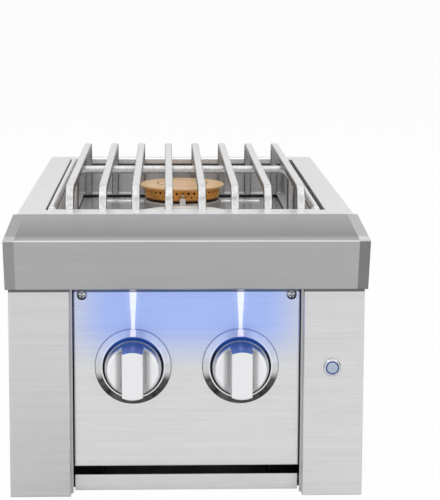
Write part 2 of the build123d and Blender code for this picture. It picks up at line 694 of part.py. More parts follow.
def make_burners():
    """Bowl, port ring, cap, mixing tube and igniter of both burners."""
    bowl_r = BOWL_DIAMETER / 2
    bore_r = bowl_r - BOWL_WALL
    seat_r = SEAT_DIAMETER / 2
    tube_bore = TUBE_DIAMETER / 2 + 0.2
    spigot_r = tube_bore + BOWL_WALL
    top_r = RING_TOP_DIAMETER / 2
    foot_r = RING_FOOT_DIAMETER / 2
    cap_r = CAP_DIAMETER / 2
    electrodes = None
    leads = None
    screws = None
    for name, y in BURNERS.items():
        bowl = turned(
            [
                (tube_bore, BOWL_BOTTOM - SPIGOT_LENGTH),
                (spigot_r, BOWL_BOTTOM - SPIGOT_LENGTH),
                (spigot_r, BOWL_BOTTOM),
                (bowl_r, BOWL_BOTTOM),
                (bowl_r, TRAY_FLOOR),
                (seat_r, TRAY_FLOOR),
                (seat_r, RING_FOOT - 1.5),
                (seat_r - 1.5, RING_FOOT),
                (bore_r, RING_FOOT),
                (bore_r, BOWL_BOTTOM + BOWL_WALL),
                (tube_bore, BOWL_BOTTOM + BOWL_WALL),
            ]
        )
        bowl = Pos(0, FACE_Y + y, 0) * bowl
        for side in SIDES.values():
            x = side * burner_screw_side()
            bowl -= rod_z(x, y, TRAY_FLOOR - 1, RING_FOOT - 3, SCREW_DIAMETER + SCREW_FIT)
            screw = rod_z(x, y, TRAY_UNDER - 1, RING_FOOT - 4, SCREW_DIAMETER)
            screw += rod_z(x, y, TRAY_UNDER - SMALL_HEAD_HEIGHT, TRAY_UNDER, SMALL_HEAD)
            screws = screw if screws is None else screws + screw
        parts[name + "_burner_bowl"] = bowl

        inner = foot_r - RING_WALL
        ring = turned(
            [
                (bore_r - SEAT_GAP - RING_WALL, RING_FOOT - 6),
                (bore_r - SEAT_GAP, RING_FOOT - 6),
                (bore_r - SEAT_GAP, RING_FOOT),
                (foot_r, RING_FOOT),
                (top_r, RING_TOP),
                (inner, RING_TOP),
                (inner, RING_FOOT + 2.5),
                (bore_r - SEAT_GAP - RING_WALL, RING_FOOT + 2.5),
            ]
        )
        port = Cylinder(PORT_DIAMETER / 2, 4 * RING_WALL)
        port = Pos(0, -top_r, RING_TOP - PORT_DROP) * Rot(90, 0, 0) * port
        small = Cylinder(SMALL_PORT_DIAMETER / 2, 4 * RING_WALL)
        small = Pos(0, -top_r, RING_TOP - SMALL_PORT_DROP) * Rot(90, 0, 0) * small
        half_turn = 180 / PORT_COUNT
        for i in range(PORT_COUNT):
            turn = 360 * i / PORT_COUNT
            ring -= [Rot(0, 0, turn) * port, Rot(0, 0, turn + half_turn) * small]
        parts[name + "_burner_ring"] = Pos(0, FACE_Y + y, 0) * ring

        rim_low = RING_TOP + CAP_CONE
        cap_top = rim_low + CAP_RIM
        cap = turned(
            [
                (0, RING_TOP - 1),
                (inner - SEAT_GAP - 3, RING_TOP - 1),
                (inner - SEAT_GAP - 3, RING_TOP - 3),
                (inner - SEAT_GAP, RING_TOP - 3),
                (inner - SEAT_GAP, RING_TOP),
                (top_r, RING_TOP),
                (cap_r - 0.4, rim_low),
                (cap_r, rim_low + 0.4),
                (cap_r, cap_top - 0.6),
                (cap_r - 0.6, cap_top),
                (CAP_GROOVE_RADIUS + 0.8, cap_top + 0.5),
                (CAP_GROOVE_RADIUS, cap_top - 0.3),
                (CAP_GROOVE_RADIUS - 0.8, cap_top + 0.5),
                (0, cap_top + 0.8),
            ]
        )
        parts[name + "_burner_cap"] = Pos(0, FACE_Y + y, 0) * cap

        side = 1 if name == "front" else -1
        mouth = BARREL_REAR + JET_LENGTH
        run = [
            (side * KNOB_SIDE, mouth, KNOB_HEIGHT),
            (side * KNOB_SIDE, y - 2 * KNOB_SIDE, KNOB_HEIGHT),
            (0, y, KNOB_HEIGHT),
            (0, y, BOWL_BOTTOM),
        ]
        tube_inside = TUBE_DIAMETER - 2 * TUBE_WALL
        parts[name + "_mixing_tube"] = pipe_along(run, TUBE_BEND, TUBE_DIAMETER, tube_inside)

        iy = igniter_set_back(y)
        ceramic_top = TRAY_FLOOR + CERAMIC_RISE
        ceramic_foot = TRAY_FLOOR - CERAMIC_DROP
        ceramic_r = CERAMIC_DIAMETER / 2
        ceramic = turned(
            [
                (PIN_DIAMETER / 2 + STEM_FIT, ceramic_foot),
                (ceramic_r, ceramic_foot),
                (ceramic_r, TRAY_FLOOR),
                (COLLAR_DIAMETER / 2, TRAY_FLOOR),
                (COLLAR_DIAMETER / 2, TRAY_FLOOR + COLLAR_HEIGHT),
                (ceramic_r, TRAY_FLOOR + COLLAR_HEIGHT),
                (ceramic_r, ceramic_top - 0.8),
                (ceramic_r - 0.8, ceramic_top),
                (PIN_DIAMETER / 2 + STEM_FIT, ceramic_top),
            ]
        )
        parts[name + "_igniter_ceramic"] = Pos(0, FACE_Y + iy, 0) * ceramic

        pin_run = [
            (0, iy, ceramic_foot - PIN_TAIL),
            (0, iy, ceramic_top + PIN_RISE),
            (0, y - top_r - SPARK_GAP, ceramic_top + PIN_RISE),
        ]
        pin = pipe_along(pin_run, PIN_DIAMETER, PIN_DIAMETER)
        electrodes = pin if electrodes is None else electrodes + pin

        spark_z = spark_height()
        lead_run = [
            (side * KNOB_SIDE, BARREL_REAR - 2 + SEAT_GAP, spark_z),
            (side * KNOB_SIDE, iy - 1.2 * KNOB_SIDE, spark_z),
            (0, iy, spark_z),
            (0, iy, ceramic_foot - PIN_TAIL - SEAT_GAP),
        ]
        lead = pipe_along(lead_run, 4 * LEAD_DIAMETER, LEAD_DIAMETER)
        leads = lead if leads is None else leads + lead
    parts["igniter_electrodes"] = electrodes
    parts["igniter_leads"] = leads
    parts["burner_screws"] = screws


def spark_height():
    """Height of the spark units' middle, above the valves."""
    return KNOB_HEIGHT + BARREL_DIAMETER / 2 + 2 + SPARK_WIDTH / 2


def stem_section(clearance):
    """Round section with one flat, grown by the clearance."""
    radius = STEM_DIAMETER / 2 + clearance
    flat = STEM_FLAT + clearance
    return Circle(radius) - Pos(0, flat + radius) * Rectangle(4 * radius, 2 * radius)


def stem_bar(y0, y1, clearance):
    """Flatted bar along Y about the origin's axis, between two set-backs."""
    return Pos(0, y1, 0) * Rot(90, 0, 0) * extrude(stem_section(clearance), y1 - y0)


def make_knob():
    """Knob with a grip bar, built looking forwards from the panel's face."""
    radius = KNOB_DIAMETER / 2
    rear = KNOB_TRAVEL + 1.0
    half = HANDLE_WIDTH / 2
    grip = HANDLE_LENGTH / 2
    shell = radius - KNOB_SHELL
    disc = turned(
        [
            (STEM_DIAMETER, rear),
            (STEM_DIAMETER, KNOB_DISC_FACE - KNOB_SHELL),
            (shell, KNOB_DISC_FACE - KNOB_SHELL),
            (shell, rear),
            (radius - 0.6, rear),
            (radius, rear + 0.6),
            (radius, KNOB_DISC_FACE),
            (0, KNOB_DISC_FACE),
            (0, rear),
        ]
    )
    disc = fillet(disc.edges().filter_by(GeomType.CIRCLE).group_by(Axis.Z)[-1], KNOB_EDGE)
    base = half + HANDLE_FILLET + 0.6
    low = KNOB_DISC_FACE - HANDLE_ROOT
    corner = KNOB_DISC_FACE + HANDLE_FILLET
    reach = HANDLE_FILLET * sqrt(0.5)
    foot = base - HANDLE_FILLET
    outline = [
        Line((-base, low), (base, low)),
        Line((base, low), (base, KNOB_DISC_FACE)),
        ThreePointArc((base, KNOB_DISC_FACE), (base - reach, corner - reach), (foot, corner)),
        Line((foot, corner), (half, KNOB_REACH - HANDLE_BEVEL)),
        Line((half, KNOB_REACH - HANDLE_BEVEL), (half - HANDLE_BEVEL, KNOB_REACH)),
        Line((half - HANDLE_BEVEL, KNOB_REACH), (HANDLE_BEVEL - half, KNOB_REACH)),
        Line((HANDLE_BEVEL - half, KNOB_REACH), (-half, KNOB_REACH - HANDLE_BEVEL)),
        Line((-half, KNOB_REACH - HANDLE_BEVEL), (-foot, corner)),
        ThreePointArc((-foot, corner), (reach - base, corner - reach), (-base, KNOB_DISC_FACE)),
        Line((-base, KNOB_DISC_FACE), (-base, low)),
    ]
    flat = radius - KNOB_EDGE
    flares = extrude(Plane.XZ * make_face(outline), radius, both=True)
    flares &= turned([(0, low), (flat, low), (flat, KNOB_REACH), (0, KNOB_REACH)])
    section = Polyline(
        (-foot, low),
        (foot, low),
        (foot, corner),
        (half, KNOB_REACH - HANDLE_BEVEL),
        (half - HANDLE_BEVEL, KNOB_REACH),
        (HANDLE_BEVEL - half, KNOB_REACH),
        (-half, KNOB_REACH - HANDLE_BEVEL),
        (-foot, corner),
        close=True,
    )
    bar = extrude(Plane.XZ * make_face(section), radius, both=True)
    cone = turned(
        [
            (0, low),
            (radius - 1.6, low),
            (radius - 1.6, KNOB_DISC_FACE),
            (grip, KNOB_REACH - HANDLE_BEVEL),
            (grip - HANDLE_BEVEL, KNOB_REACH),
            (0, KNOB_REACH),
        ]
    )
    knob = disc + (bar & cone) + flares
    hole = extrude(stem_section(STEM_FIT), rear + STEM_HOLE)
    return knob - hole


def make_controls():
    """Knobs, bezels and valves of both burners."""
    jets = None
    sparks = None
    for name, side in SIDES.items():
        x = side * KNOB_SIDE
        z = KNOB_HEIGHT
        parts[name + "_knob"] = at_front(x, PANEL_SET_BACK, z, make_knob())

        bezel = turned(
            [
                (BEZEL_BORE / 2, 0),
                (BEZEL_DIAMETER / 2, 0),
                (BEZEL_DIAMETER / 2, 0.8),
                (BEZEL_FRONT_DIAMETER / 2 + 0.4, BEZEL_HEIGHT - 0.3),
                (BEZEL_FRONT_DIAMETER / 2 - 0.4, BEZEL_HEIGHT),
                (BEZEL_BORE / 2 + 0.6, BEZEL_HEIGHT),
                (BEZEL_BORE / 2, BEZEL_HEIGHT - 0.8),
            ]
        )
        parts[name + "_bezel"] = at_front(x, PANEL_SET_BACK, z, bezel)

        stem_front = PANEL_SET_BACK - KNOB_TRAVEL - STEM_HOLE + 0.5
        stem = Pos(x, FACE_Y, z) * stem_bar(stem_front, STEM_REAR, 0)
        stem += rod_y(x, z, CLIP_SET_BACK, CLIP_REAR, CLIP_DIAMETER)
        parts[name + "_valve_stem"] = stem

        coil_r = STEM_DIAMETER / 2 + 1.5 + SPRING_WIRE / 2
        start = CLIP_REAR + SEAT_GAP + SPRING_WIRE / 2
        end = NOSE_FRONT - SEAT_GAP - SPRING_WIRE / 2
        helix = Helix((end - start) / SPRING_TURNS, end - start, coil_r)
        coil = sweep(Plane(helix @ 0, z_dir=helix % 0) * Circle(SPRING_WIRE / 2), helix, is_frenet=True)
        parts[name + "_valve_spring"] = at_front(x, end, z, coil)

        body = rod_y(x, z, NOSE_FRONT, BARREL_FRONT, NOSE_DIAMETER)
        body += rod_y(x, z, BARREL_FRONT, BARREL_REAR, BARREL_DIAMETER)
        boss_top = MANIFOLD_HEIGHT + BOSS_HEIGHT
        body += rod_z(x, MANIFOLD_SET_BACK, boss_top, z, BOSS_DIAMETER)
        pad = z + BARREL_DIAMETER / 2 + 2
        body += block(x - PAD_HALF, x + PAD_HALF, BARREL_FRONT + 3, BARREL_REAR - 3, z, pad)
        body -= rod_y(x, z, NOSE_FRONT - 1, BARREL_REAR + 1, STEM_DIAMETER + 2 * STEM_FIT)
        body -= rod_y(x, z, PLUG_FRONT - SEAT_GAP, BARREL_REAR + 1, PLUG_DIAMETER + 2 * STEM_FIT)
        body -= rod_z(x, MANIFOLD_SET_BACK, boss_top - 1, z, BOSS_DIAMETER / 2)
        parts[name + "_valve_body"] = body

        plug = rod_y(x, z, PLUG_FRONT, PLUG_REAR, PLUG_DIAMETER)
        plug -= Pos(x, FACE_Y, z) * stem_bar(PLUG_FRONT - 1, PLUG_REAR - 2, STEM_FIT)
        parts[name + "_valve_plug"] = plug

        jet = rod_y(x, z, PLUG_REAR + SEAT_GAP, BARREL_REAR, PLUG_DIAMETER)
        jet += hex_bar_y(x, z, BARREL_REAR, BARREL_REAR + JET_LENGTH / 2, JET_HEX)
        jet += rod_y(x, z, BARREL_REAR, BARREL_REAR + 1.6 * JET_LENGTH, JET_DIAMETER)
        jet -= rod_y(x, z, PLUG_REAR - 1, BARREL_REAR + 2 * JET_LENGTH, JET_HOLE)
        jets = jet if jets is None else jets + jet

        half = SPARK_WIDTH / 2
        spark = block(x - half, x + half, BARREL_FRONT + 2, BARREL_REAR - 2, pad, pad + SPARK_WIDTH)
        sparks = spark if sparks is None else sparks + spark
    parts["valve_jets"] = jets
    parts["spark_units"] = sparks


def make_gas_line():
    """Manifold with plug, elbow, inlet pipe, locknut and brackets."""
    y = MANIFOLD_SET_BACK
    z = MANIFOLD_HEIGHT
    socket = PIPE_DIAMETER + 2 * PIPE_FIT
    pipe = rod_x(y, z, -MANIFOLD_REACH, MANIFOLD_REACH, PIPE_DIAMETER)
    for side in SIDES.values():
        pipe += rod_z(side * KNOB_SIDE, y, z, z + BOSS_HEIGHT, BOSS_DIAMETER)
    pipe -= rod_x(y, z, -MANIFOLD_REACH - 1, MANIFOLD_REACH + 1, PIPE_BORE)
    for side in SIDES.values():
        pipe -= rod_z(side * KNOB_SIDE, y, z, z + BOSS_HEIGHT + 1, BOSS_DIAMETER / 2)
    parts["manifold_pipe"] = pipe

    plug = rod_x(y, z, -MANIFOLD_REACH - 6, -MANIFOLD_REACH, PIPE_DIAMETER)
    plug += rod_x(y, z, -MANIFOLD_REACH, -MANIFOLD_REACH + 12, PIPE_BORE - 2 * PIPE_FIT)
    parts["manifold_plug"] = plug

    end = MANIFOLD_REACH + SEAT_GAP
    inlet_start = y + ELBOW_ARM + 4
    elbow = rod_x(y, z, end - SOCKET_DEPTH, INLET_SIDE, ELBOW_DIAMETER)
    elbow += rod_y(INLET_SIDE, z, y, inlet_start + SOCKET_DEPTH, ELBOW_DIAMETER)
    elbow += Pos(INLET_SIDE, FACE_Y + y, z) * Sphere(ELBOW_DIAMETER / 2)
    elbow -= rod_x(y, z, end - SOCKET_DEPTH - 1, end, socket)
    elbow -= rod_x(y, z, end - 1, INLET_SIDE, PIPE_BORE)
    elbow -= rod_y(INLET_SIDE, z, y - PIPE_BORE / 2, inlet_start + 1, PIPE_BORE)
    elbow -= rod_y(INLET_SIDE, z, inlet_start, inlet_start + SOCKET_DEPTH + 1, socket)
    parts["inlet_elbow"] = elbow

    outside = REAR_WALL + SHEET
    inlet = rod_y(INLET_SIDE, z, inlet_start + SEAT_GAP, outside + 1, PIPE_DIAMETER)
    inlet += rod_y(INLET_SIDE, z, outside, outside + 1 + INLET_LENGTH, INLET_DIAMETER)
    inlet -= rod_y(INLET_SIDE, z, inlet_start - 1, outside + INLET_LENGTH + 2, PIPE_BORE)
    parts["inlet_pipe"] = inlet

    nut = hex_bar_y(INLET_SIDE, z, REAR_WALL - LOCKNUT_THICKNESS, REAR_WALL, LOCKNUT_HEX)
    nut -= rod_y(INLET_SIDE, z, REAR_WALL - LOCKNUT_THICKNESS - 1, REAR_WALL + 1, socket)
    parts["inlet_locknut"] = nut

    brackets = None
    for side in SIDES.values():
        x = side * BRACKET_SIDE
        depth = BRACKET_DEPTH / 2
        thick = side * BRACKET_SHEET
        bracket = block(x, x + thick, y - depth, y + depth, SHEET, z + depth)
        bracket += block(x, x + 7 * thick, y - depth, y + depth, SHEET, SHEET + BRACKET_SHEET)
        bracket -= rod_x(y, z, x - thick, x + 2 * thick, socket)
        brackets = bracket if brackets is None else brackets + bracket
    parts["manifold_brackets"] = brackets


def make_lamps_and_switch():
    """Lamps in the cap's lip and the lit push switch on the right post."""
    lamps = None
    lenses = None
    for side in SIDES.values():
        x = side * KNOB_SIDE
        y = lamp_set_back()
        lamp = rod_z(x, y, CAP_BOTTOM - 0.8, CAP_BOTTOM, LAMP_FLANGE)
        lamp += rod_z(x, y, CAP_BOTTOM, CAP_BOTTOM + LAMP_LENGTH, LAMP_DIAMETER)
        lamp -= rod_z(x, y, CAP_BOTTOM - 2, CAP_BOTTOM + 3, LAMP_LENS + 0.1)
        lens = rod_z(x, y, CAP_BOTTOM - 1.2, CAP_BOTTOM + 3, LAMP_LENS)
        lamps = lamp if lamps is None else lamps + lamp
        lenses = lens if lenses is None else lenses + lens
    parts["lamp_bodies"] = lamps
    parts["lamp_lenses"] = lenses

    x = SWITCH_SIDE
    z = KNOB_HEIGHT
    front = SWITCH_FLANGE_HEIGHT
    pocket = BUTTON_LENGTH - BUTTON_PROUD + 5 * BUTTON_TRAVEL - front
    flange = turned(
        [
            (0, 0),
            (SWITCH_FLANGE / 2, 0),
            (SWITCH_FLANGE / 2, front - 1.0),
            (SWITCH_FLANGE / 2 - 1.0, front),
            (0, front),
        ]
    )
    body = at_front(x, 0, z, flange) + rod_y(x, z, 0, SWITCH_LENGTH, SWITCH_BARREL)
    body -= rod_y(x, z, -front - 1, pocket, LIGHT_RING + 0.1)
    for blade in (x - BLADE_SIDE, x + BLADE_SIDE):
        thick = BLADE_SHEET / 2
        tip = SWITCH_LENGTH + BLADE_LENGTH
        body += block(blade - thick, blade + thick, SWITCH_LENGTH - 1, tip, z - 1.5, z + 1.5)
    parts["switch_body"] = body

    ring = rod_y(x, z, -front, pocket - SEAT_GAP, LIGHT_RING)
    ring -= rod_y(x, z, -front - 1, pocket + 1, BUTTON_DIAMETER + 0.15)
    parts["switch_light_ring"] = ring

    button_front = front + BUTTON_PROUD
    button = turned(
        [
            (0, 0),
            (BUTTON_DIAMETER / 2, 0),
            (BUTTON_DIAMETER / 2, BUTTON_LENGTH - 0.5),
            (BUTTON_DIAMETER / 2 - 0.5, BUTTON_LENGTH),
            (0, BUTTON_LENGTH - 0.3),
        ]
    )
    button_rear = BUTTON_LENGTH - button_front
    parts["switch_button"] = at_front(x, button_rear, z, button)

    coil_r = BUTTON_DIAMETER / 2 - 1.5
    wire = SPRING_WIRE / 2
    start = button_rear + SEAT_GAP + wire / 2
    end = pocket - SEAT_GAP - wire / 2
    helix = Helix((end - start) / SPRING_TURNS, end - start, coil_r)
    coil = sweep(Plane(helix @ 0, z_dir=helix % 0) * Circle(wire / 2), helix, is_frenet=True)
    parts["switch_spring"] = at_front(x, end, z, coil)

    nut = hex_bar_y(x, z, SHEET, SHEET + 3.5, SWITCH_FLANGE + 1)
    nut -= rod_y(x, z, 0, SHEET + 5, SWITCH_BARREL + 2 * PIPE_FIT)
    parts["switch_nut"] = nut


def make_fasteners():
    """Panel, ledge and rear screws, and the cable grommet."""
    panel_screws = None
    ledge_heads = None
    rear_heads = None
    half = BOX_WIDTH / 2
    radius = SCREW_HEAD / 2
    slot = SCREW_HEAD / 5
    for side in SIDES.values():
        x = side * panel_screw_side()
        z = panel_screw_height()
        dome = turned(
            [
                (0, 0),
                (radius, 0),
                (radius, 0.8),
                (radius * 0.86, SCREW_HEAD_HEIGHT * 0.66),
                (radius * 0.55, SCREW_HEAD_HEIGHT * 0.92),
                (0, SCREW_HEAD_HEIGHT),
            ]
        )
        cross = Box(2.6 * slot, 0.7 * slot, 3) + Box(0.7 * slot, 2.6 * slot, 3)
        dome -= Pos(0, 0, SCREW_HEAD_HEIGHT) * cross
        screw = at_front(x, PANEL_SET_BACK, z, dome)
        screw += rod_y(x, z, PANEL_SET_BACK, PANEL_SET_BACK + PANEL_FLANGE + 5, SCREW_DIAMETER)
        panel_screws = screw if panel_screws is None else panel_screws + screw
        for y in ledge_screws():
            h = ledge_screw_height()
            screw = rod_x(y, h, side * half, side * (half + SMALL_HEAD_HEIGHT), SMALL_HEAD)
            screw += rod_x(y, h, side * (half - 6), side * half, SCREW_DIAMETER)
            ledge_heads = screw if ledge_heads is None else ledge_heads + screw
        for z in rear_screws():
            x = side * (half - WALL_FLANGE / 2)
            outside = REAR_WALL + SHEET
            screw = rod_y(x, z, outside, outside + SMALL_HEAD_HEIGHT, SMALL_HEAD)
            screw += rod_y(x, z, outside - 6, outside, SCREW_DIAMETER)
            rear_heads = screw if rear_heads is None else rear_heads + screw
    parts["panel_screws"] = panel_screws
    parts["ledge_screws"] = ledge_heads
    parts["rear_wall_screws"] = rear_heads

    x = -GROMMET_SIDE
    z = GROMMET_HEIGHT
    grommet = rod_y(x, z, REAR_WALL - GROMMET_LIP, REAR_WALL, GROMMET_FLANGE)
    grommet += rod_y(x, z, REAR_WALL, REAR_WALL + SHEET, GROMMET_HOLE - 2 * PIPE_FIT)
    grommet += rod_y(x, z, REAR_WALL + SHEET, REAR_WALL + SHEET + GROMMET_LIP, GROMMET_FLANGE)
    grommet -= rod_y(x, z, REAR_WALL - 5, REAR_WALL + 8, GROMMET_BORE)
    parts["cable_grommet"] = grommet


make_posts()
make_walls()
make_panel()
make_front_cap()
make_deck()
make_pan()
make_grate()
make_burners()
make_controls()
make_gas_line()
make_lamps_and_switch()
make_fasteners()

os.makedirs("parts", exist_ok=True)
for name, shape in parts.items():
    export_step(shape, "parts/" + name + ".step")
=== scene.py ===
"""Looks of the double side burner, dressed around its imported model.

Lengths are metres in the model's own frame: X runs to the right, Y to the rear and Z up.
"""

import logging
import math
from dataclasses import dataclass, field
from enum import Enum
from functools import reduce
from typing import Any

import bmesh
import bpy
import numpy as np
from mathutils import Matrix, Vector


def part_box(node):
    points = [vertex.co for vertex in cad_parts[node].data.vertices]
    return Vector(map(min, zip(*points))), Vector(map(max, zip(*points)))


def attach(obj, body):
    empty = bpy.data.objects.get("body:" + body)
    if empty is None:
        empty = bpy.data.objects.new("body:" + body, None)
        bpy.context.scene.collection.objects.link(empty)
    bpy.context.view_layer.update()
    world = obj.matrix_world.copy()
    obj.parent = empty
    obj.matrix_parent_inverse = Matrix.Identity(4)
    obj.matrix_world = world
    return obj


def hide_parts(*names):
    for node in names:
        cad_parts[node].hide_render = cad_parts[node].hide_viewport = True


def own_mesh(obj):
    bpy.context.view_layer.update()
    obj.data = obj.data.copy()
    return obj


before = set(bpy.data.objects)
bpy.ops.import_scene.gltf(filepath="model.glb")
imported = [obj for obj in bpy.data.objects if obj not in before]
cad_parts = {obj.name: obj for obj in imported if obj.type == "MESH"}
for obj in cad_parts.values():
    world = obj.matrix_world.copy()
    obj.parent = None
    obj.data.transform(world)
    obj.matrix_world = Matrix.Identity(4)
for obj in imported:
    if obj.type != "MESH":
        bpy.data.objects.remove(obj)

LOG = logging.getLogger("side_burner")
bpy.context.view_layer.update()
CHASSIS = "chassis"

Colour = tuple[float, float, float]
Triple = tuple[float, float, float]
Pair = tuple[float, float]
Socket = bpy.types.NodeSocket
Material = bpy.types.Material

ORIGIN: Triple = (0.0, 0.0, 0.0)
REARWARD: Triple = (0.0, 1.0, 0.0)
FORWARD: Triple = (0.0, -1.0, 0.0)
WHITE: Colour = (1.0, 1.0, 1.0)


def grey(tone: float) -> Colour:
    """Returns a colour with no hue."""
    return (tone, tone, tone)


class Board:
    """Node tree with short calls that place, fill and link its nodes."""

    def __init__(self, tree: bpy.types.NodeTree) -> None:
        """Keeps the tree that the calls work on."""
        self.tree = tree

    def feed(self, socket: Socket, value: Any) -> None:
        """Links a socket to another one, or sets its value.

        Args:
            socket: The input to fill.
            value: An output socket, a number or a tuple of numbers.
        """
        if isinstance(value, Socket):
            self.tree.links.new(value, socket)
        else:
            socket.default_value = value

    def add(self, kind: str, inputs: dict[Any, Any] | None = None, **settings: Any) -> bpy.types.Node:
        """Places a node.

        Args:
            kind: The node's type name.
            inputs: Values or links by input name or number.
            **settings: The node's own properties.

        Returns:
            The new node.
        """
        node = self.tree.nodes.new(kind)
        for key, value in settings.items():
            setattr(node, key, value)
        for key, value in (inputs or {}).items():
            self.feed(node.inputs[key], value)
        return node

    def math(self, operation: str, a: Any, b: Any = 0.0, clamp: bool = False) -> Socket:
        """Works out one operation on two values.

        Args:
            operation: The name of the operation.
            a: First value or socket.
            b: Second value or socket.
            clamp: Whether the result stays between 0 and 1.

        Returns:
            The result's socket.
        """
        node = self.add("ShaderNodeMath", {0: a, 1: b}, operation=operation, use_clamp=clamp)
        return node.outputs[0]

    def times(self, *values: Any) -> Socket:
        """Multiplies two or more values."""
        return reduce(lambda a, b: self.math("MULTIPLY", a, b), values)

    def plus(self, a: Any, b: Any) -> Socket:
        """Adds two values."""
        return self.math("ADD", a, b)

    def minus(self, a: Any, b: Any) -> Socket:
        """Takes the second value from the first."""
        return self.math("SUBTRACT", a, b)

    def gap(self, a: Any, b: Any = 0.0) -> Socket:
        """Returns how far two values lie apart."""
        return self.math("ABSOLUTE", self.minus(a, b))

    def vector(self, operation: str, a: Any, b: Any = ORIGIN) -> Socket:
        """Works out one operation on two vectors and returns its vector."""
        return self.add("ShaderNodeVectorMath", {0: a, 1: b}, operation=operation).outputs["Vector"]

    def length(self, a: Any) -> Socket:
        """Returns the length of a vector."""
        return self.add("ShaderNodeVectorMath", {0: a}, operation="LENGTH").outputs["Value"]

    def split(self, a: Any) -> tuple[Socket, Socket, Socket]:
        """Returns the three parts of a vector."""
        return tuple(self.add("ShaderNodeSeparateXYZ", {0: a}).outputs)

    def span(self, value: Any, start: float, end: float, low: Any = 0.0, high: Any = 1.0) -> Socket:
        """Eases a value from low at start to high at end, and holds it outside.

        Args:
            value: The value that is followed.
            start: Where the result is low.
            end: Where the result is high.
            low: Result at start.
            high: Result at end.

        Returns:
            The result's socket.
        """
        if start > end:
            start, end, low, high = end, start, high, low
        inputs = {0: value, 1: start, 2: end, 3: low, 4: high}
        return self.add("ShaderNodeMapRange", inputs, interpolation_type="SMOOTHSTEP").outputs[0]

    def mix(self, share: Any, a: Any, b: Any, blend: str = "MIX") -> Socket:
        """Mixes two colours.

        Args:
            share: How much of b shows.
            a: First colour.
            b: Second colour.
            blend: The way in which they mix.

        Returns:
            The colour's socket.
        """
        a, b = [c if isinstance(c, Socket) else (*c, 1.0) for c in (a, b)]
        node = self.add("ShaderNodeMix", {0: share, 6: a, 7: b}, data_type="RGBA", blend_type=blend)
        return node.outputs[2]

    def blend(self, share: Any, a: Any, b: Any) -> Socket:
        """Mixes two numbers and returns the result."""
        return self.add("ShaderNodeMix", {0: share, 2: a, 3: b}).outputs[0]

    def scaled(self, colour: Any, factor: Any) -> Socket:
        """Multiplies a colour by one number."""
        node = self.add("ShaderNodeVectorMath", {0: colour, "Scale": factor}, operation="SCALE")
        return node.outputs["Vector"]

    def noise(self, position: Any, scale: float, detail: float = 2.0) -> Socket:
        """Returns a cloud value about 0.5 whose lumps are 1/scale metres wide."""
        inputs = {"Vector": position, "Scale": scale, "Detail": detail, "Roughness": 0.55}
        return self.add("ShaderNodeTexNoise", inputs).outputs["Fac"]


class Canvas(Board):
    """Board of one material, with the place on the piece and the shader at hand."""

    def __init__(self, name: str, metallic: float) -> None:
        """Starts the material with one shader on its output.

        Args:
            name: The material's name.
            metallic: The shader's share of metal.
        """
        self.material = bpy.data.materials.new(name)
        self.material.use_nodes = True
        super().__init__(self.material.node_tree)
        self.tree.nodes.clear()
        self.position = self.add("ShaderNodeTexCoord").outputs["Object"]
        self.x, self.y, self.z = self.split(self.position)
        self.shader = self.add("ShaderNodeBsdfPrincipled", {"Metallic": metallic})
        self.add("ShaderNodeOutputMaterial", {"Surface": self.shader.outputs["BSDF"]})

    def group(self, tree: bpy.types.NodeTree, inputs: dict[str, Any] | None = None) -> Any:
        """Places a shared effect.

        Args:
            tree: The effect's group.
            inputs: Its own values; the place on the piece is linked where the group asks for it.

        Returns:
            The outputs of the group's node.
        """
        node = self.add("ShaderNodeGroup", inputs, node_tree=tree)
        if "Position" in node.inputs:
            self.feed(node.inputs["Position"], self.position)
        return node.outputs

    def shine(self, light: Socket, strength: float = 1.0) -> None:
        """Adds light to the shader."""
        self.feed(self.shader.inputs["Emission Color"], light)
        self.feed(self.shader.inputs["Emission Strength"], strength)


def new_group(name: str, inputs: dict[str, str], outputs: dict[str, str]) -> tuple[Board, Any, Any]:
    """Starts a shader node group.

    Args:
        name: The group's name.
        inputs: Kind of socket by input name, Float, Vector or Color.
        outputs: Kind of socket by output name.

    Returns:
        The group's board, the sockets that bring its values and the sockets that take its results.
    """
    tree = bpy.data.node_groups.new(name, "ShaderNodeTree")
    for side, sockets in (("INPUT", inputs), ("OUTPUT", outputs)):
        for label, kind in sockets.items():
            tree.interface.new_socket(label, in_out=side, socket_type="NodeSocket" + kind)
    board = Board(tree)
    return board, board.add("NodeGroupInput").outputs, board.add("NodeGroupOutput").inputs


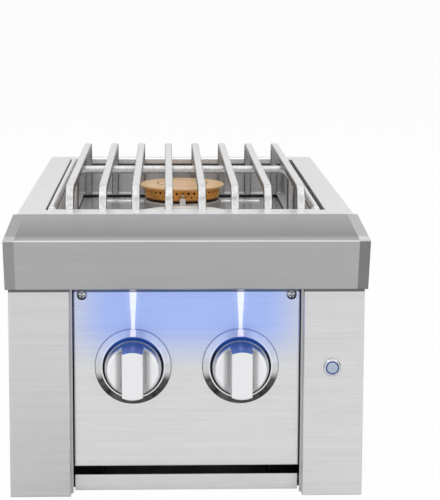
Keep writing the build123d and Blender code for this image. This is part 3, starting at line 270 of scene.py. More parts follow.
class Effects:
    """Shader groups that several finishes share, each built once."""

    def __init__(self) -> None:
        """Builds every group."""
        self.lines = self._brushed_lines()
        self.rings = self._turned_rings()
        self.haze = self._handling_haze()
        self.edge = self._eased_edge()
        self.heat = self._heat_tint()

    @staticmethod
    def _swung(board: Board, cloud: Socket, amount: Socket, results: Any) -> None:
        """Feeds a shade that swings about 1 with a cloud, and the cloud itself as a height."""
        swing = board.times(board.minus(cloud, 0.5), amount)
        board.feed(results["Shade"], board.plus(swing, 1.0))
        board.feed(results["Height"], cloud)

    def _brushed_lines(self) -> bpy.types.NodeTree:
        """Belt lines: fine and coarse clouds drawn out along the belt's direction."""
        board, given, results = new_group(
            "brushed_lines",
            {"Position": "Vector", "Lines": "Vector", "Contrast": "Float"},
            {"Shade": "Float", "Height": "Float"},
        )
        drawn = board.vector("MULTIPLY", given["Position"], given["Lines"])
        fine = board.noise(drawn, 1.0, 3.0)
        coarse = board.noise(drawn, 0.16, 1.0)
        height = board.plus(board.times(fine, 0.7), board.times(coarse, 0.3))
        self._swung(board, height, given["Contrast"], results)
        return board.tree

    def _turned_rings(self) -> bpy.types.NodeTree:
        """Lathe lines: clouds that change with the distance from an axis only."""
        places = dict.fromkeys(("Position", "Centre", "Across"), "Vector")
        board, given, results = new_group(
            "turned_rings",
            places | {"Lines": "Float", "Contrast": "Float"},
            {"Shade": "Float", "Height": "Float", "Radius": "Float"},
        )
        offset = board.vector("SUBTRACT", given["Position"], given["Centre"])
        radius = board.length(board.vector("MULTIPLY", offset, given["Across"]))
        line = board.add("ShaderNodeCombineXYZ", {0: board.times(radius, given["Lines"])})
        self._swung(board, board.noise(line.outputs[0], 1.0, 2.0), given["Contrast"], results)
        board.feed(results["Radius"], radius)
        return board.tree

    @staticmethod
    def _handling_haze() -> bpy.types.NodeTree:
        """Faint clouds of handling and wiping: a shade and an added roughness."""
        board, given, results = new_group(
            "handling_haze",
            {"Position": "Vector", "Amount": "Float"},
            {"Shade": "Float", "Rough": "Float"},
        )
        wide = board.noise(given["Position"], 11.0, 3.0)
        small = board.noise(given["Position"], 70.0, 3.0)
        swing = board.times(board.minus(board.plus(wide, small), 1.0), given["Amount"])
        board.feed(results["Shade"], board.plus(swing, 1.0))
        board.feed(results["Rough"], board.times(swing, 0.6))
        return board.tree

    @staticmethod
    def _eased_edge() -> bpy.types.NodeTree:
        """Eased edges: a normal that rounds them over a radius, and where they are."""
        board, given, results = new_group(
            "eased_edge", {"Radius": "Float"}, {"Normal": "Vector", "Edge": "Float"}
        )
        bevel = board.add("ShaderNodeBevel", {"Radius": given["Radius"]}, samples=6).outputs[0]
        flat = board.add("ShaderNodeNewGeometry").outputs["Normal"]
        same = board.add("ShaderNodeVectorMath", {0: bevel, 1: flat}, operation="DOT_PRODUCT")
        board.feed(results["Normal"], bevel)
        board.feed(results["Edge"], board.span(same.outputs["Value"], 0.999, 0.93))
        return board.tree

    @staticmethod
    def _heat_tint() -> bpy.types.NodeTree:
        """Straw and blue colours that a flame leaves, by distance from one axis."""
        board, given, results = new_group(
            "heat_tint",
            {"Position": "Vector", "Centre": "Vector", "Reach": "Float"},
            {"Tint": "Color", "Mask": "Float"},
        )
        offset = board.vector("SUBTRACT", given["Position"], given["Centre"])
        radius = board.length(board.vector("MULTIPLY", offset, Axis.UPWARDS.value))
        share = board.math("DIVIDE", radius, given["Reach"])
        ragged = board.plus(share, board.times(board.noise(offset, 60.0), 0.3))
        straw: Colour = (1.0, 0.90, 0.72)
        blue: Colour = (0.86, 0.88, 1.0)
        board.feed(results["Tint"], board.mix(board.span(ragged, 0.95, 0.70), straw, blue))
        board.feed(results["Mask"], board.span(ragged, 1.25, 0.75))
        return board.tree


class Grain(Enum):
    """Lines per metre along X, Y and Z for each way that a belt runs."""

    SIDEWAYS = (14.0, 1700.0, 1700.0)
    UPWARDS = (1700.0, 1700.0, 14.0)
    REARWARDS = (1700.0, 14.0, 1700.0)


class Axis(Enum):
    """Parts of a position that count as the distance from a lathe's axis."""

    REARWARDS = (1.0, 0.0, 1.0)
    UPWARDS = (1.0, 1.0, 0.0)


EFFECTS = Effects()


@dataclass(frozen=True)
class Finish:
    """What every finish has: a name, a colour, a roughness, its metal and its eased edges."""

    name: str
    colour: Colour
    roughness: float
    metallic: float = 1.0
    edge_radius: float = 0.0004

    def build(self) -> Material:
        """Makes the material and returns it."""
        board = Canvas(self.name, self.metallic)
        self.dress(board)
        return board.material

    def dress(self, board: Canvas) -> None:
        """Feeds the shader, in each finish's own way."""
        raise NotImplementedError

    def settle(
        self, board: Canvas, colour: Any, shade: Any, height: Any, haze: float, relief: float = 0.00002
    ) -> None:
        """Adds handling haze and eased edges, and fills the shader.

        Args:
            board: The material's board.
            colour: The surface's colour.
            shade: Factor on that colour.
            height: Relief of the surface, or None.
            haze: Strength of the handling haze.
            relief: Height of the relief in metres.
        """
        cloud = board.group(EFFECTS.haze, {"Amount": haze})
        eased = board.group(EFFECTS.edge, {"Radius": self.edge_radius})
        rough = board.plus(cloud["Rough"], self.roughness)
        wear_and_highlight = board.times(eased["Edge"], -0.25 * self.roughness)
        normal = eased["Normal"]
        if height is not None:
            inputs = {"Height": height, "Normal": normal, "Strength": 0.35, "Distance": relief}
            normal = board.add("ShaderNodeBump", inputs).outputs["Normal"]
        fills = {
            "Base Color": board.scaled(colour, board.times(shade, cloud["Shade"])),
            "Roughness": board.math("ADD", rough, wear_and_highlight, clamp=True),
            "Normal": normal,
        }
        for label, value in fills.items():
            board.feed(board.shader.inputs[label], value)


@dataclass(frozen=True)
class BrushedSteel(Finish):
    """Sheet steel with the fine lines of a belt, and a painted shadow at its top where it stands close under a
    lip.
    """

    grain: Grain = Grain.SIDEWAYS
    contrast: float = 0.34
    haze: float = 0.06
    lip_shadow: Pair | None = None
    lip_shadow_tone: float = 0.22

    def dress(self, board: Canvas) -> None:
        """Draws the belt lines over the sheet's colour."""
        lines = self.brushed(board, self.grain)
        shade = lines["Shade"]
        # Painted shadow of the lip above, darkening the sheet's top.
        if self.lip_shadow is not None:
            shade = board.times(shade, board.span(board.z, *self.lip_shadow, 1.0, self.lip_shadow_tone))
        self.settle(board, self.tinted(board, shade), shade, lines["Height"], self.haze)

    def brushed(self, board: Canvas, grain: Grain) -> Any:
        """Places the belt lines for one direction."""
        return board.group(EFFECTS.lines, {"Lines": grain.value, "Contrast": self.contrast})

    def tinted(self, board: Canvas, shade: Socket) -> Any:
        """Returns the sheet's colour before its lines."""
        return self.colour


@dataclass(frozen=True)
class RailSteel(BrushedSteel):
    """Base sheet: brushed on its front lip, with painted shade inside the box."""

    lip: float = 0.0
    inside_shade: float = 0.10
    turn: Pair = (0.001, 0.004)

    def tinted(self, board: Canvas, shade: Socket) -> Any:
        """Paints shade that darkens what lies behind the lip."""
        start, end = [self.lip + v for v in self.turn]
        return board.scaled(self.colour, board.span(board.y, start, end, 1.0, self.inside_shade))


@dataclass(frozen=True)
class FootShadedSteel(BrushedSteel):
    """Post: brushed sideways, with painted shade that darkens it towards its foot."""

    top: float = 0.201
    # Factor of the painted shade at the sheet's foot.
    foot: float = 1.0

    def tinted(self, board: Canvas, shade: Socket) -> Any:
        """Paints shade that darkens the sheet downwards."""
        return board.scaled(self.colour, board.span(board.z, 0.0, self.top, self.foot, 1.0))


@dataclass(frozen=True)
class KnobMetal(BrushedSteel):
    """Knob: satin faces, with painted shade in the coves along both sides of the grip and painted blue lamp
    light on what faces up.
    """

    middle: float = 0.0
    face: float = 0.0
    grip: float = 0.0097
    cove: float = 0.0192
    cove_starts: Triple = (-0.0002, 0.0016, 0.0030)
    cove_floor: Pair = (0.0015, 0.0060)
    # Depth of the painted shade in the coves.
    depth: float = 0.52
    # Colour of the painted blue lamp light on what faces up.
    above: Colour = (0.05, 0.12, 0.36)

    def tinted(self, board: Canvas, shade: Socket) -> Any:
        """Paints shade into the coves by the distance from the grip's middle plane, and paints blue lamp light
        on what faces up.
        """
        off = board.gap(board.x, self.middle)
        start, wall, turn = [self.grip + v for v in self.cove_starts]
        near = board.span(off, start, wall)
        away = board.span(off, self.cove, turn)
        low = board.span(board.y, *[self.face + v for v in self.cove_floor])
        painted_cove_shade = board.span(board.times(near, away, low), 0.0, 1.0, 1.0, 1.0 - self.depth)
        # Painted blue lamp light on faces that look up.
        _, _, up = board.split(board.add("ShaderNodeNewGeometry").outputs["Normal"])
        return board.mix(board.span(up, 0.20, 0.70), board.scaled(self.colour, painted_cove_shade), self.above)


@dataclass(frozen=True)
class CapSteel(BrushedSteel):
    """Front cap: brushed sideways, with ends that are ground across after welding, painted shading and a
    painted highlight along the nose.
    """

    end: float = 0.160
    weld: float = 0.0004
    nose: float = 0.250
    fold: float = 0.0008
    nose_edge: Pair = (0.0017, 0.0007)
    middle: float = 0.01
    front: float = 0.0
    rear: float = 0.0
    # Factors of the painted shading on the front, the slope and the two ends, and of the painted highlight
    # along the nose.
    front_shading: float = 0.91
    wear_and_highlight: float = 1.45
    slope_shading: Pair = (0.66, 0.98)
    left_end_shading: Pair = (0.66, 0.98)
    right_end_shading: Pair = (0.46, 1.26)

    def dress(self, board: Canvas) -> None:
        """Changes belt direction at the two welded ends, paints shading that differs over the front, the slope
        and each end, and paints a highlight along the nose.
        """
        ends = board.span(board.gap(board.x), self.end - self.weld, self.end + self.weld)
        above = board.span(board.z, self.nose - self.fold, self.nose + self.fold)
        belts = [self.brushed(board, grain) for grain in (Grain.SIDEWAYS, Grain.UPWARDS)]
        # Painted shading over the slope, the front and the two ends.
        slope = board.span(board.y, self.front, self.rear, *self.slope_shading)
        plain_shading = board.blend(above, self.front_shading, slope)
        left, right = [board.blend(above, *tones) for tones in (self.left_end_shading, self.right_end_shading)]
        end_shading = board.blend(board.span(board.x, -self.middle, self.middle), left, right)
        # Painted highlight along the nose.
        edge = board.span(board.gap(board.z, self.nose), *self.nose_edge, 1.0, self.wear_and_highlight)
        shade, height = [board.blend(ends, *[belt[label] for belt in belts]) for label in ("Shade", "Height")]
        shade = board.times(shade, board.blend(ends, plain_shading, end_shading), edge)
        self.settle(board, self.colour, shade, height, self.haze)


@dataclass(frozen=True)
class LampGlow:
    """Light that the two panel lamps throw down the metal below them."""

    side: float
    top: float
    knob: float
    rim: float
    bore: float = 0.0284
    ring: float = 0.0298
    bore_edge: float = 0.0004
    rim_edge: float = 0.002
    ring_edge: Pair = (-0.0015, 0.0005)
    streak: float = 0.0031
    core: Pair = (1.10, 0.90)
    halo_reach: float = 3.0
    fan_drop: Pair = (-0.008, 0.044)
    fan_reach: Pair = (0.132, 0.070)
    taper: Pair = (0.56, 1.06)
    spread: float = 0.30
    halo: float = 0.10
    upper: Pair = (0.008, 0.025)
    blue: Colour = (0.05, 0.09, 0.36)
    white: Colour = (0.46, 0.40, 0.33)
    dimmed: Colour = (0.50, 0.61, 0.80)
    deep: Colour = (0.008, 0.040, 0.200)
    shadow: Colour = (0.05, 0.05, 0.055)
    lit_shadow: Colour = (0.06, 0.12, 0.34)

    def build(self) -> bpy.types.NodeTree:
        """Makes the group: a narrow white streak under each lamp in a wide blue fan.

        The fan fades below the bezel's top and towards the panel's sides. Inside a bezel
        the metal is in shadow, and blue light reaches only the upper half.

        Returns:
            The shader group, which puts out the added light and the steel's tint.
        """
        board, given, results = new_group(
            "lamp_glow", {"Position": "Vector"}, {"Light": "Color", "Tint": "Color"}
        )
        x, _, z = board.split(given["Position"])
        across = board.gap(x)
        off = board.gap(across, self.side)
        lift = board.minus(z, self.knob)
        radius = board.math("SQRT", board.plus(board.math("POWER", off, 2.0), board.math("POWER", lift, 2.0)))
        hollow = board.span(radius, self.bore + self.bore_edge, self.bore)
        fan = board.times(board.span(lift, *self.fan_drop), board.span(across, *self.fan_reach))
        taper = board.span(z, self.knob + self.rim, self.top, *self.taper)
        width = board.plus(taper, board.span(lift, self.rim, self.rim - self.rim_edge, 0.0, self.spread))
        offset = board.math("DIVIDE", off, width)
        core = board.span(offset, *[share * self.streak for share in self.core])
        halo = board.times(board.span(offset, self.halo_reach * self.streak, self.streak), self.halo)
        shown = board.span(lift, *[self.ring + v for v in self.ring_edge])
        white = board.times(board.plus(core, halo), shown)
        outside = board.vector("ADD", board.scaled(self.blue, fan), board.scaled(self.white, white))
        upper = board.span(lift, *self.upper)
        tint = board.mix(fan, WHITE, self.dimmed)
        shadow = board.mix(upper, self.shadow, self.lit_shadow)
        board.feed(results["Light"], board.mix(hollow, outside, board.scaled(self.deep, upper)))
        board.feed(results["Tint"], board.mix(hollow, tint, shadow))
        return board.tree


@dataclass(frozen=True)
class LitSteel(BrushedSteel):
    """Brushed steel under the panel lamps."""

    glow: bpy.types.NodeTree | None = None

    def tinted(self, board: Canvas, shade: Socket) -> Any:
        """Adds the lamps' light to the sheet, and returns its colour in that light."""
        lit = board.group(self.glow)
        board.shine(board.scaled(lit["Light"], shade))
        return board.mix(1.0, self.colour, lit["Tint"], "MULTIPLY")


@dataclass(frozen=True)
class PolishedSteel(Finish):
    """Deep-drawn steel, nearly a mirror, with faint drawing marks and flame tint."""

    burners: tuple[Triple, ...] = ()
    reach: float = 0.075
    tint: float = 0.25
    haze: float = 0.12
    mottle: float = 0.055
    # Painted shading by facing: factors on flanks and undersides, on bends and, as front, on the rear legs.
    flank_shade: float = 1.0
    bend_shading: float = 1.0
    front: float = 1.0
    rear_legs: Pair = (0.15, 0.22)
    # Strip of painted shadow along the edges of a box in plan.
    border: tuple[Triple, Triple, float] | None = None
    border_edge: float = 0.0005
    # Painted light towards the rim, and the height of a painted shadow line below it.
    rim: Triple | None = None
    rim_shadow_line: float | None = None
    rim_shadow_half: Pair = (0.0009, 0.0016)

    def dress(self, board: Canvas) -> None:
        """Tints the steel round each burner."""
        colour: Any = self.colour
        for centre in self.burners:
            heat = board.group(EFFECTS.heat, {"Centre": centre, "Reach": self.reach})
            colour = board.mix(board.times(heat["Mask"], self.tint), colour, heat["Tint"], "MULTIPLY")
        mottle = board.noise(board.position, 220.0, 3.0)
        shade = board.span(mottle, 0.2, 0.8, 1.0 - self.mottle, 1.0 + self.mottle)
        # Painted shading of flanks, undersides, bends and rear legs by their facing.
        if (self.flank_shade, self.bend_shading) != (1.0, 1.0):
            shade = board.times(shade, self.painted_facing_shade(board))
        # Painted light towards the rim and a painted shadow line below it.
        if self.rim is not None:
            shade = board.times(shade, self.painted_rim_light(board))
        # Painted shadow along the border.
        if self.border is not None:
            shade = board.times(shade, self.painted_ledge_shadow(board))
        self.settle(board, colour, shade, mottle, self.haze)

    def painted_facing_shade(self, board: Canvas) -> Socket:
        """Returns painted shading by facing: a factor on flanks, undersides, bends and rear legs."""
        x, y, z = board.split(board.group(EFFECTS.edge, {"Radius": self.edge_radius})["Normal"])
        aside = board.math("MAXIMUM", board.gap(x), board.times(z, -1.5))
        flank_shade = board.span(aside, 0.35, 0.90, 1.0, self.flank_shade)
        bend_shading = board.span(board.times(y, z, -2.0), 0.25, 0.85, 1.0, self.bend_shading)
        leg = board.times(board.span(y, -0.30, -0.90), board.span(board.y, *self.rear_legs))
        return board.times(flank_shade, bend_shading, board.span(leg, 0.0, 1.0, 1.0, self.front))

    def painted_rim_light(self, board: Canvas) -> Socket:
        """Returns painted light: a factor that brightens the walls towards their rim, with a painted shadow
        line below it.
        """
        start, end, rim_light_gain = self.rim
        rim_shadow_line = board.span(board.gap(board.z, self.rim_shadow_line), *self.rim_shadow_half, 0.12, 1.0)
        return board.times(board.span(board.z, start, end, 1.0, rim_light_gain), rim_shadow_line)

    def painted_ledge_shadow(self, board: Canvas) -> Socket:
        """Returns a painted shadow: a factor that blackens a strip along the edges of a box in plan."""
        low, high, width = self.border
        inset: Any = 1.0
        for value, start, end in ((board.x, low[0], high[0]), (board.y, low[1], high[1])):
            for side in (board.minus(value, start), board.minus(end, value)):
                inset = board.math("MINIMUM", inset, side)
        return board.span(inset, width - self.border_edge, width + self.border_edge, 0.05, 1.0)


@dataclass(frozen=True)
class TurnedMetal(Finish):
    """Metal finished on a lathe, with fine rings about its axis."""

    centre: Triple = ORIGIN
    axis: Axis = Axis.REARWARDS
    lines: float = 2600.0
    contrast: float = 0.35
    haze: float = 0.05
    glow: bpy.types.NodeTree | None = None

    def dress(self, board: Canvas) -> None:
        """Draws the rings over the metal."""
        place = {"Centre": self.centre, "Across": self.axis.value}
        rings = board.group(EFFECTS.rings, place | {"Lines": self.lines, "Contrast": self.contrast})
        shade = board.times(rings["Shade"], self.toned(board, rings["Radius"]))
        self.settle(board, self.tinted(board), shade, rings["Height"], self.haze)

    def tinted(self, board: Canvas) -> Any:
        """Returns the metal's colour, in the lamps' light where the piece stands in it."""
        if self.glow is None:
            return self.colour
        lit = board.group(self.glow)
        board.shine(lit["Light"])
        return board.mix(1.0, self.colour, lit["Tint"], "MULTIPLY")

    def toned(self, board: Canvas, radius: Socket) -> Any:
        """Returns a factor on the colour that the rings don't give."""
        return 1.0


@dataclass(frozen=True)
class BezelMetal(TurnedMetal):
    """Turned bezel: a polished front ring, a cone with painted shade downwards and painted reflection fans,
    and a dark foot.
    """

    ring: float = 0.0302
    foot: float = 0.0357
    # Painted shade on the cone's lower part.
    low_shade: float = 0.10
    side_tone: float = 0.76
    ring_tone: float = 0.92
    ring_edge: float = 0.0003
    foot_tone: float = 0.25
    foot_edge: Pair = (-0.0003, 0.0002)
    # Strength of the painted reflection fans.
    fan: float = 0.30

    def toned(self, board: Canvas, radius: Socket) -> Any:
        """Paints shade that darkens the cone downwards and reflection fans by its angle, and darkens its foot
        all round.
        """
        offset = board.vector("SUBTRACT", board.position, self.centre)
        unit = board.vector("NORMALIZE", board.vector("MULTIPLY", offset, self.axis.value))
        _, _, rise = board.split(unit)
        painted_fans = board.times(board.minus(board.noise(unit, 3.2, 1.0), 0.5), self.fan)
        cone = board.plus(board.span(rise, -0.42, -0.12, self.low_shade, self.side_tone), painted_fans)
        front = board.span(radius, self.ring + self.ring_edge, self.ring - self.ring_edge)
        foot = board.span(radius, *[self.foot + v for v in self.foot_edge], 1.0, self.foot_tone)
        return board.times(board.blend(front, cone, self.ring_tone), foot)


@dataclass(frozen=True)
class BurnerBrass(TurnedMetal):
    """Turned brass that has been heated: rings, darker patches, a blackened bore and a groove."""

    patch: Colour = (0.30, 0.16, 0.06)
    patch_share: float = 0.35
    bore: float = 0.0
    bore_edge: float = 0.0003
    groove: float = 0.0
    groove_half: Pair = (0.0006, 0.0012)

    def tinted(self, board: Canvas) -> Any:
        """Lays darker clouds over the brass."""
        cloud = board.span(board.noise(board.position, 45.0, 4.0), 0.42, 0.75)
        return board.mix(board.times(cloud, self.patch_share), self.colour, self.patch)

    def toned(self, board: Canvas, radius: Socket) -> Any:
        """Blackens the bore and darkens the groove."""
        tone: Any = 1.0
        if self.bore > 0.0:
            tone = board.span(radius, self.bore, self.bore + self.bore_edge, 0.04, 1.0)
        if self.groove > 0.0:
            tone = board.times(tone, board.span(board.gap(radius, self.groove), *self.groove_half, 0.40, 1.0))
        return tone


@dataclass(frozen=True)
class PlatedSteel(Finish):
    """Bright plating on a small dome, with a painted reflection of the dark below the lip at its brim."""

    # Factor of the painted dark reflection at the brim.
    brim: float = 0.05

    def dress(self, board: Canvas) -> None:
        """Paints a dark reflection on the dome where it turns away."""
        facing = board.add("ShaderNodeLayerWeight", {"Blend": 0.5}).outputs["Facing"]
        self.settle(board, self.colour, board.span(facing, 0.06, 0.30, 1.0, self.brim), None, 0.02)


@dataclass(frozen=True)
class CastMetal(Finish):
    """Sand casting: a fine grain in relief and uneven colour."""

    grain: float = 900.0

    def dress(self, board: Canvas) -> None:
        """Draws the sand's grain."""
        sand = board.noise(board.position, self.grain, 3.0)
        self.settle(board, self.colour, board.span(sand, 0.25, 0.75, 0.8, 1.15), sand, 0.15, 0.0002)


@dataclass(frozen=True)
class Moulding(Finish):
    """Moulded plastic, rubber or glaze: a soft pebble in relief."""

    metallic: float = 0.0
    pebble: float = 1500.0
    swing: float = 0.08

    def dress(self, board: Canvas) -> None:
        """Draws the pebble."""
        dots = board.noise(board.position, self.pebble)
        shade = board.span(dots, 0.3, 0.7, 1.0 - self.swing, 1.0 + self.swing)
        self.settle(board, self.colour, shade, dots, 0.08, 0.00006)


@dataclass(frozen=True)
class Luminous(Moulding):
    """Lamp lens or light ring: clear plastic that shines unevenly."""

    light: Colour = WHITE
    strength: float = 1.0

    def dress(self, board: Canvas) -> None:
        """Adds an uneven glow to the moulding."""
        super().dress(board)
        cells = board.span(board.noise(board.position, 900.0), 0.3, 0.7, 0.85, 1.1)
        board.shine(board.scaled(self.light, cells), self.strength)


def dress_nodes(material: Material, *names: str) -> None:
    """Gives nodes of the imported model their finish.

    Args:
        material: The finish's material.
        *names: The nodes' names.
    """
    for name in names:
        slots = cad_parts[name].data.materials
        slots.clear()
        slots.append(material)
        LOG.info("%s wears %s", name, material.name)


@dataclass
class Surface:
    """Closed mesh in arrays: points as rows of X, Y and Z, and four corner numbers for each face."""

    points: np.ndarray
    faces: np.ndarray

    @classmethod
    def grid(cls, points: np.ndarray, looped: bool = False) -> "Surface":
        """Joins neighbouring points of a grid whose columns close on themselves.

        Args:
            points: Rows by columns of places.
            looped: Whether the last row joins the first one.

        Returns:
            The surface.
        """
        rows, columns = points.shape[:2]
        row = np.arange(rows if looped else rows - 1)[:, None]
        column = np.arange(columns)[None, :]
        below = (row + 1) % rows
        beside = (column + 1) % columns
        ends = ((row, column), (row, beside), (below, beside), (below, column))
        corners = np.stack([r * columns + c for r, c in ends], axis=-1)
        return cls(points.reshape(-1, 3), corners.reshape(-1, 4))

    @classmethod
    def turned(cls, radius: np.ndarray, along: np.ndarray, columns: int, looped: bool = False) -> "Surface":
        """Carries a profile round the Z axis.

        A point of row i and column j lies at the angle t = 2 pi j / columns, at
        (r cos t, r sin t, h), where r and h are the row's radius and height, or the
        point's own where they are grids.

        Args:
            radius: Radius of each row, or of each row and column.
            along: Height of each row, or of each row and column.
            columns: Points round the axis.
            looped: Whether the profile is closed.

        Returns:
            The surface.
        """
        angle = around(columns)
        r, h = [v[:, None] if v.ndim == 1 else v for v in (radius, along)]
        parts = np.broadcast_arrays(r * np.cos(angle), r * np.sin(angle), h)
        return cls.grid(np.stack(parts, axis=-1), looped)

    def placed(self, place: Triple, aim: Triple = (0.0, 0.0, 1.0)) -> "Surface":
        """Returns a copy whose Z axis looks along aim from a place."""
        turn = Vector((0.0, 0.0, 1.0)).rotation_difference(Vector(aim)).to_matrix()
        return Surface(self.points @ np.array(turn).T + np.array(place), self.faces)

    @staticmethod
    def joined(parts: list["Surface"]) -> "Surface":
        """Returns several surfaces as one."""
        starts = np.cumsum([0] + [len(part.points) for part in parts[:-1]])
        points = np.concatenate([part.points for part in parts])
        return Surface(points, np.concatenate([part.faces + n for part, n in zip(parts, starts)]))

    def outward(self) -> np.ndarray:
        """Returns the faces, turned round where the volume that they enclose counts as negative."""
        a, b, c, d = [self.points[self.faces[:, i]] for i in range(4)]
        volume = np.sum(a * np.cross(b, c)) + np.sum(a * np.cross(c, d))
        return self.faces if volume > 0.0 else self.faces[:, ::-1]

    def build(
        self, name: str, material: Material, slot: str, body: str, stands_for: str | None = None
    ) -> bpy.types.Object:
        """Makes the surface a piece of the object.

        Args:
            name: The piece's name.
            material: Its finish.
            slot: The record's slot of that finish; not used.
            body: The body that it moves with.
            stands_for: The node that it takes the place of.

        Returns:
            The new object.
        """
        mesh = bpy.data.meshes.new(name)
        mesh.from_pydata(self.points.tolist(), [], self.outward().tolist())
        soft = bmesh.new()
        soft.from_mesh(mesh)
        bmesh.ops.remove_doubles(soft, verts=soft.verts, dist=1e-7)
        soft.to_mesh(mesh)
        soft.free()
        mesh.polygons.foreach_set("use_smooth", np.ones(len(mesh.polygons), dtype=bool))
        mesh.set_sharp_from_angle(angle=math.radians(35.0))
        mesh.materials.append(material)
        piece = bpy.data.objects.new(name, mesh)
        bpy.context.scene.collection.objects.link(piece)
        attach(piece, body)
        if stands_for is not None:
            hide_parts(stands_for)
        LOG.info("%s: %d faces on %s", name, len(mesh.polygons), body)
        return piece


def around(columns: int) -> np.ndarray:
    """Returns one row of even angles round a circle."""
    return np.linspace(0.0, 2.0 * np.pi, columns, endpoint=False)[None, :]


def lathe_box(node: str) -> tuple[Vector, Vector, Triple]:
    """Measures a node that is turned about an axis along Y.

    Args:
        node: The node's name.

    Returns:
        Its lowest corner, its highest corner and the place of its axis.
    """
    low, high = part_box(node)
    return low, high, ((low.x + high.x) / 2, 0.0, (low.z + high.z) / 2)


@dataclass
class ScrewHeads:
    """Domed screws with a cross recess, at the rear wall and on the box's sides."""

    head: float = 0.0040
    rise: float = 0.0024
    brim: float = 0.0007
    shank: float = 0.0020
    length: float = 0.0060
    arm: float = 0.0022
    slot: float = 0.00042
    depth: float = 0.0012
    ease: float = 0.0003
    tip_share: float = 0.7
    rings: int = 26
    columns: int = 72

    def screw(self) -> Surface:
        """Shapes one screw on the Z axis.

        The dome's height falls with the square of the radius, h = brim + (rise - brim)
        (1 - (r / head)^2), and the recess takes its depth off wherever a point lies in one
        of two crossed slots. Rows then run down the brim, under the head and down the shank.

        Returns:
            The screw's surface, its head's underside at height 0.
        """
        angle = around(self.columns)
        r = np.linspace(0.0, self.head, self.rings)[:, None]
        u, v = np.abs(r * np.cos(angle)), np.abs(r * np.sin(angle))
        ways = ((u, v), (v, u))
        slots = np.maximum(*[self._within(a, self.slot) * self._within(b, self.arm) for a, b in ways])
        dome = self.brim + (self.rise - self.brim) * (1.0 - (r / self.head) ** 2) - self.depth * slots
        tip = self.shank * self.tip_share
        low_r = np.array([self.head, self.shank, self.shank, tip, 0.0])[:, None]
        low_h = np.array([0.0, 0.0, tip - self.length, -self.length, -self.length])[:, None]
        radius = np.concatenate([r, low_r]) + 0.0 * angle
        return Surface.turned(radius, np.concatenate([dome, low_h + 0.0 * angle]), self.columns)

    def _within(self, distance: np.ndarray, half: float) -> np.ndarray:
        """Returns 1 nearer than half, 0 further out, and a straight ramp between."""
        return np.clip((half - distance) / self.ease + 0.5, 0.0, 1.0)

    def drive(self, places: list[tuple[Triple, Triple]], piece: str, node: str, material: Material) -> None:
        """Sets a screw at each place, as one piece.

        Args:
            places: Place and aim of each screw.
            piece: The piece's name.
            node: The node that it takes the place of.
            material: The screws' finish.
        """
        screw = self.screw()
        screws = [screw.placed(place, aim) for place, aim in places]
        Surface.joined(screws).build(piece, material, "screw_steel", CHASSIS, node)

    def build(self, material: Material) -> None:
        """Drives three screws on each side of the rear wall and into each side wall."""
        low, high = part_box("rear_wall_screws")
        across = (low.x + self.head, high.x - self.head)
        heights = np.linspace(low.z + self.head, high.z - self.head, 3)
        rear = [((x, high.y - self.rise, z), REARWARD) for x in across for z in heights]
        self.drive(rear, "rear_screw_heads", "rear_wall_screws", material)
        low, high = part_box("ledge_screws")
        middle = (low.z + high.z) / 2
        set_backs = np.linspace(low.y + self.head, high.y - self.head, 3)
        walls = ((low.x + self.rise, -1.0), (high.x - self.rise, 1.0))
        sides = [((x, y, middle), (aim, 0.0, 0.0)) for x, aim in walls for y in set_backs]
        self.drive(sides, "side_screw_heads", "ledge_screws", material)


@dataclass
class PanelScrews(ScrewHeads):
    """Two larger domed screws at the panel's upper corners."""

    head: float = 0.00475
    rise: float = 0.0029
    length: float = 0.0100
    arm: float = 0.0026
    slot: float = 0.0005
    depth: float = 0.0016

    def build(self, material: Material) -> None:
        """Drives one screw at each upper corner."""
        low, high, axis = lathe_box("panel_screws")
        corners = (low.x + self.head, high.x - self.head)
        pair = [((x, low.y + self.rise, axis[2]), FORWARD) for x in corners]
        self.drive(pair, "panel_screw_heads", "panel_screws", material)


@dataclass
class PostFlanges:
    """Inward return of each post's sheet, seen in the gap beside the panel."""

    cover: float = 0.0020
    sunk: float = 0.0003
    front: float = -0.2612
    rear: float = -0.2567
    foot: float = 0.0010

    def build(self, material: Material) -> None:
        """Stands one flange along each post.

        A flange is a grid of four rows and four columns: its foot's middle, the four corners
        of its foot, the same corners at its head, and its head's middle.
        """
        for name, side in (("left_post", 1.0), ("right_post", -1.0)):
            low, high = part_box(name)
            root = high.x if side > 0.0 else low.x
            x = np.array([root - side * self.sunk, root + side * self.cover])
            y = np.array([self.front, self.rear])
            z = np.array([low.z + self.foot, high.z - self.foot])
            ring = np.array([(x[i], y[j], 0.0) for i, j in ((0, 0), (1, 0), (1, 1), (0, 1))])
            middle = np.broadcast_to(ring.mean(axis=0), ring.shape)
            heights = np.array([0.0, 0.0, 1.0]) * z[[0, 0, 1, 1], None, None]
            rows = np.stack([middle, ring, ring, middle]) + heights
            Surface.grid(rows).build(name + "_flange", material, "post_steel", CHASSIS)


@dataclass
class KnobSkirts:
    """Turned skirt round the back of each knob."""

    inner: float = 0.0245
    outer: float = 0.0268
    length: float = 0.0030
    ease: float = 0.0005
    columns: int = 96

    def build(self, side: str, material: Material) -> None:
        """Carries the skirt's closed profile, a bar with two eased corners, round the knob's axis."""
        _, high, axis = lathe_box(side + "_knob")
        radius = np.array([self.inner, self.outer - self.ease, self.outer, self.outer, self.inner])
        along = high.y + np.array([-self.length, -self.length, self.ease - self.length, 0.0, 0.0])
        ring = Surface.turned(radius, along, self.columns, looped=True).placed(axis, REARWARD)
        ring.build(side + "_knob_skirt", material, "knob_metal", side + "_knob")


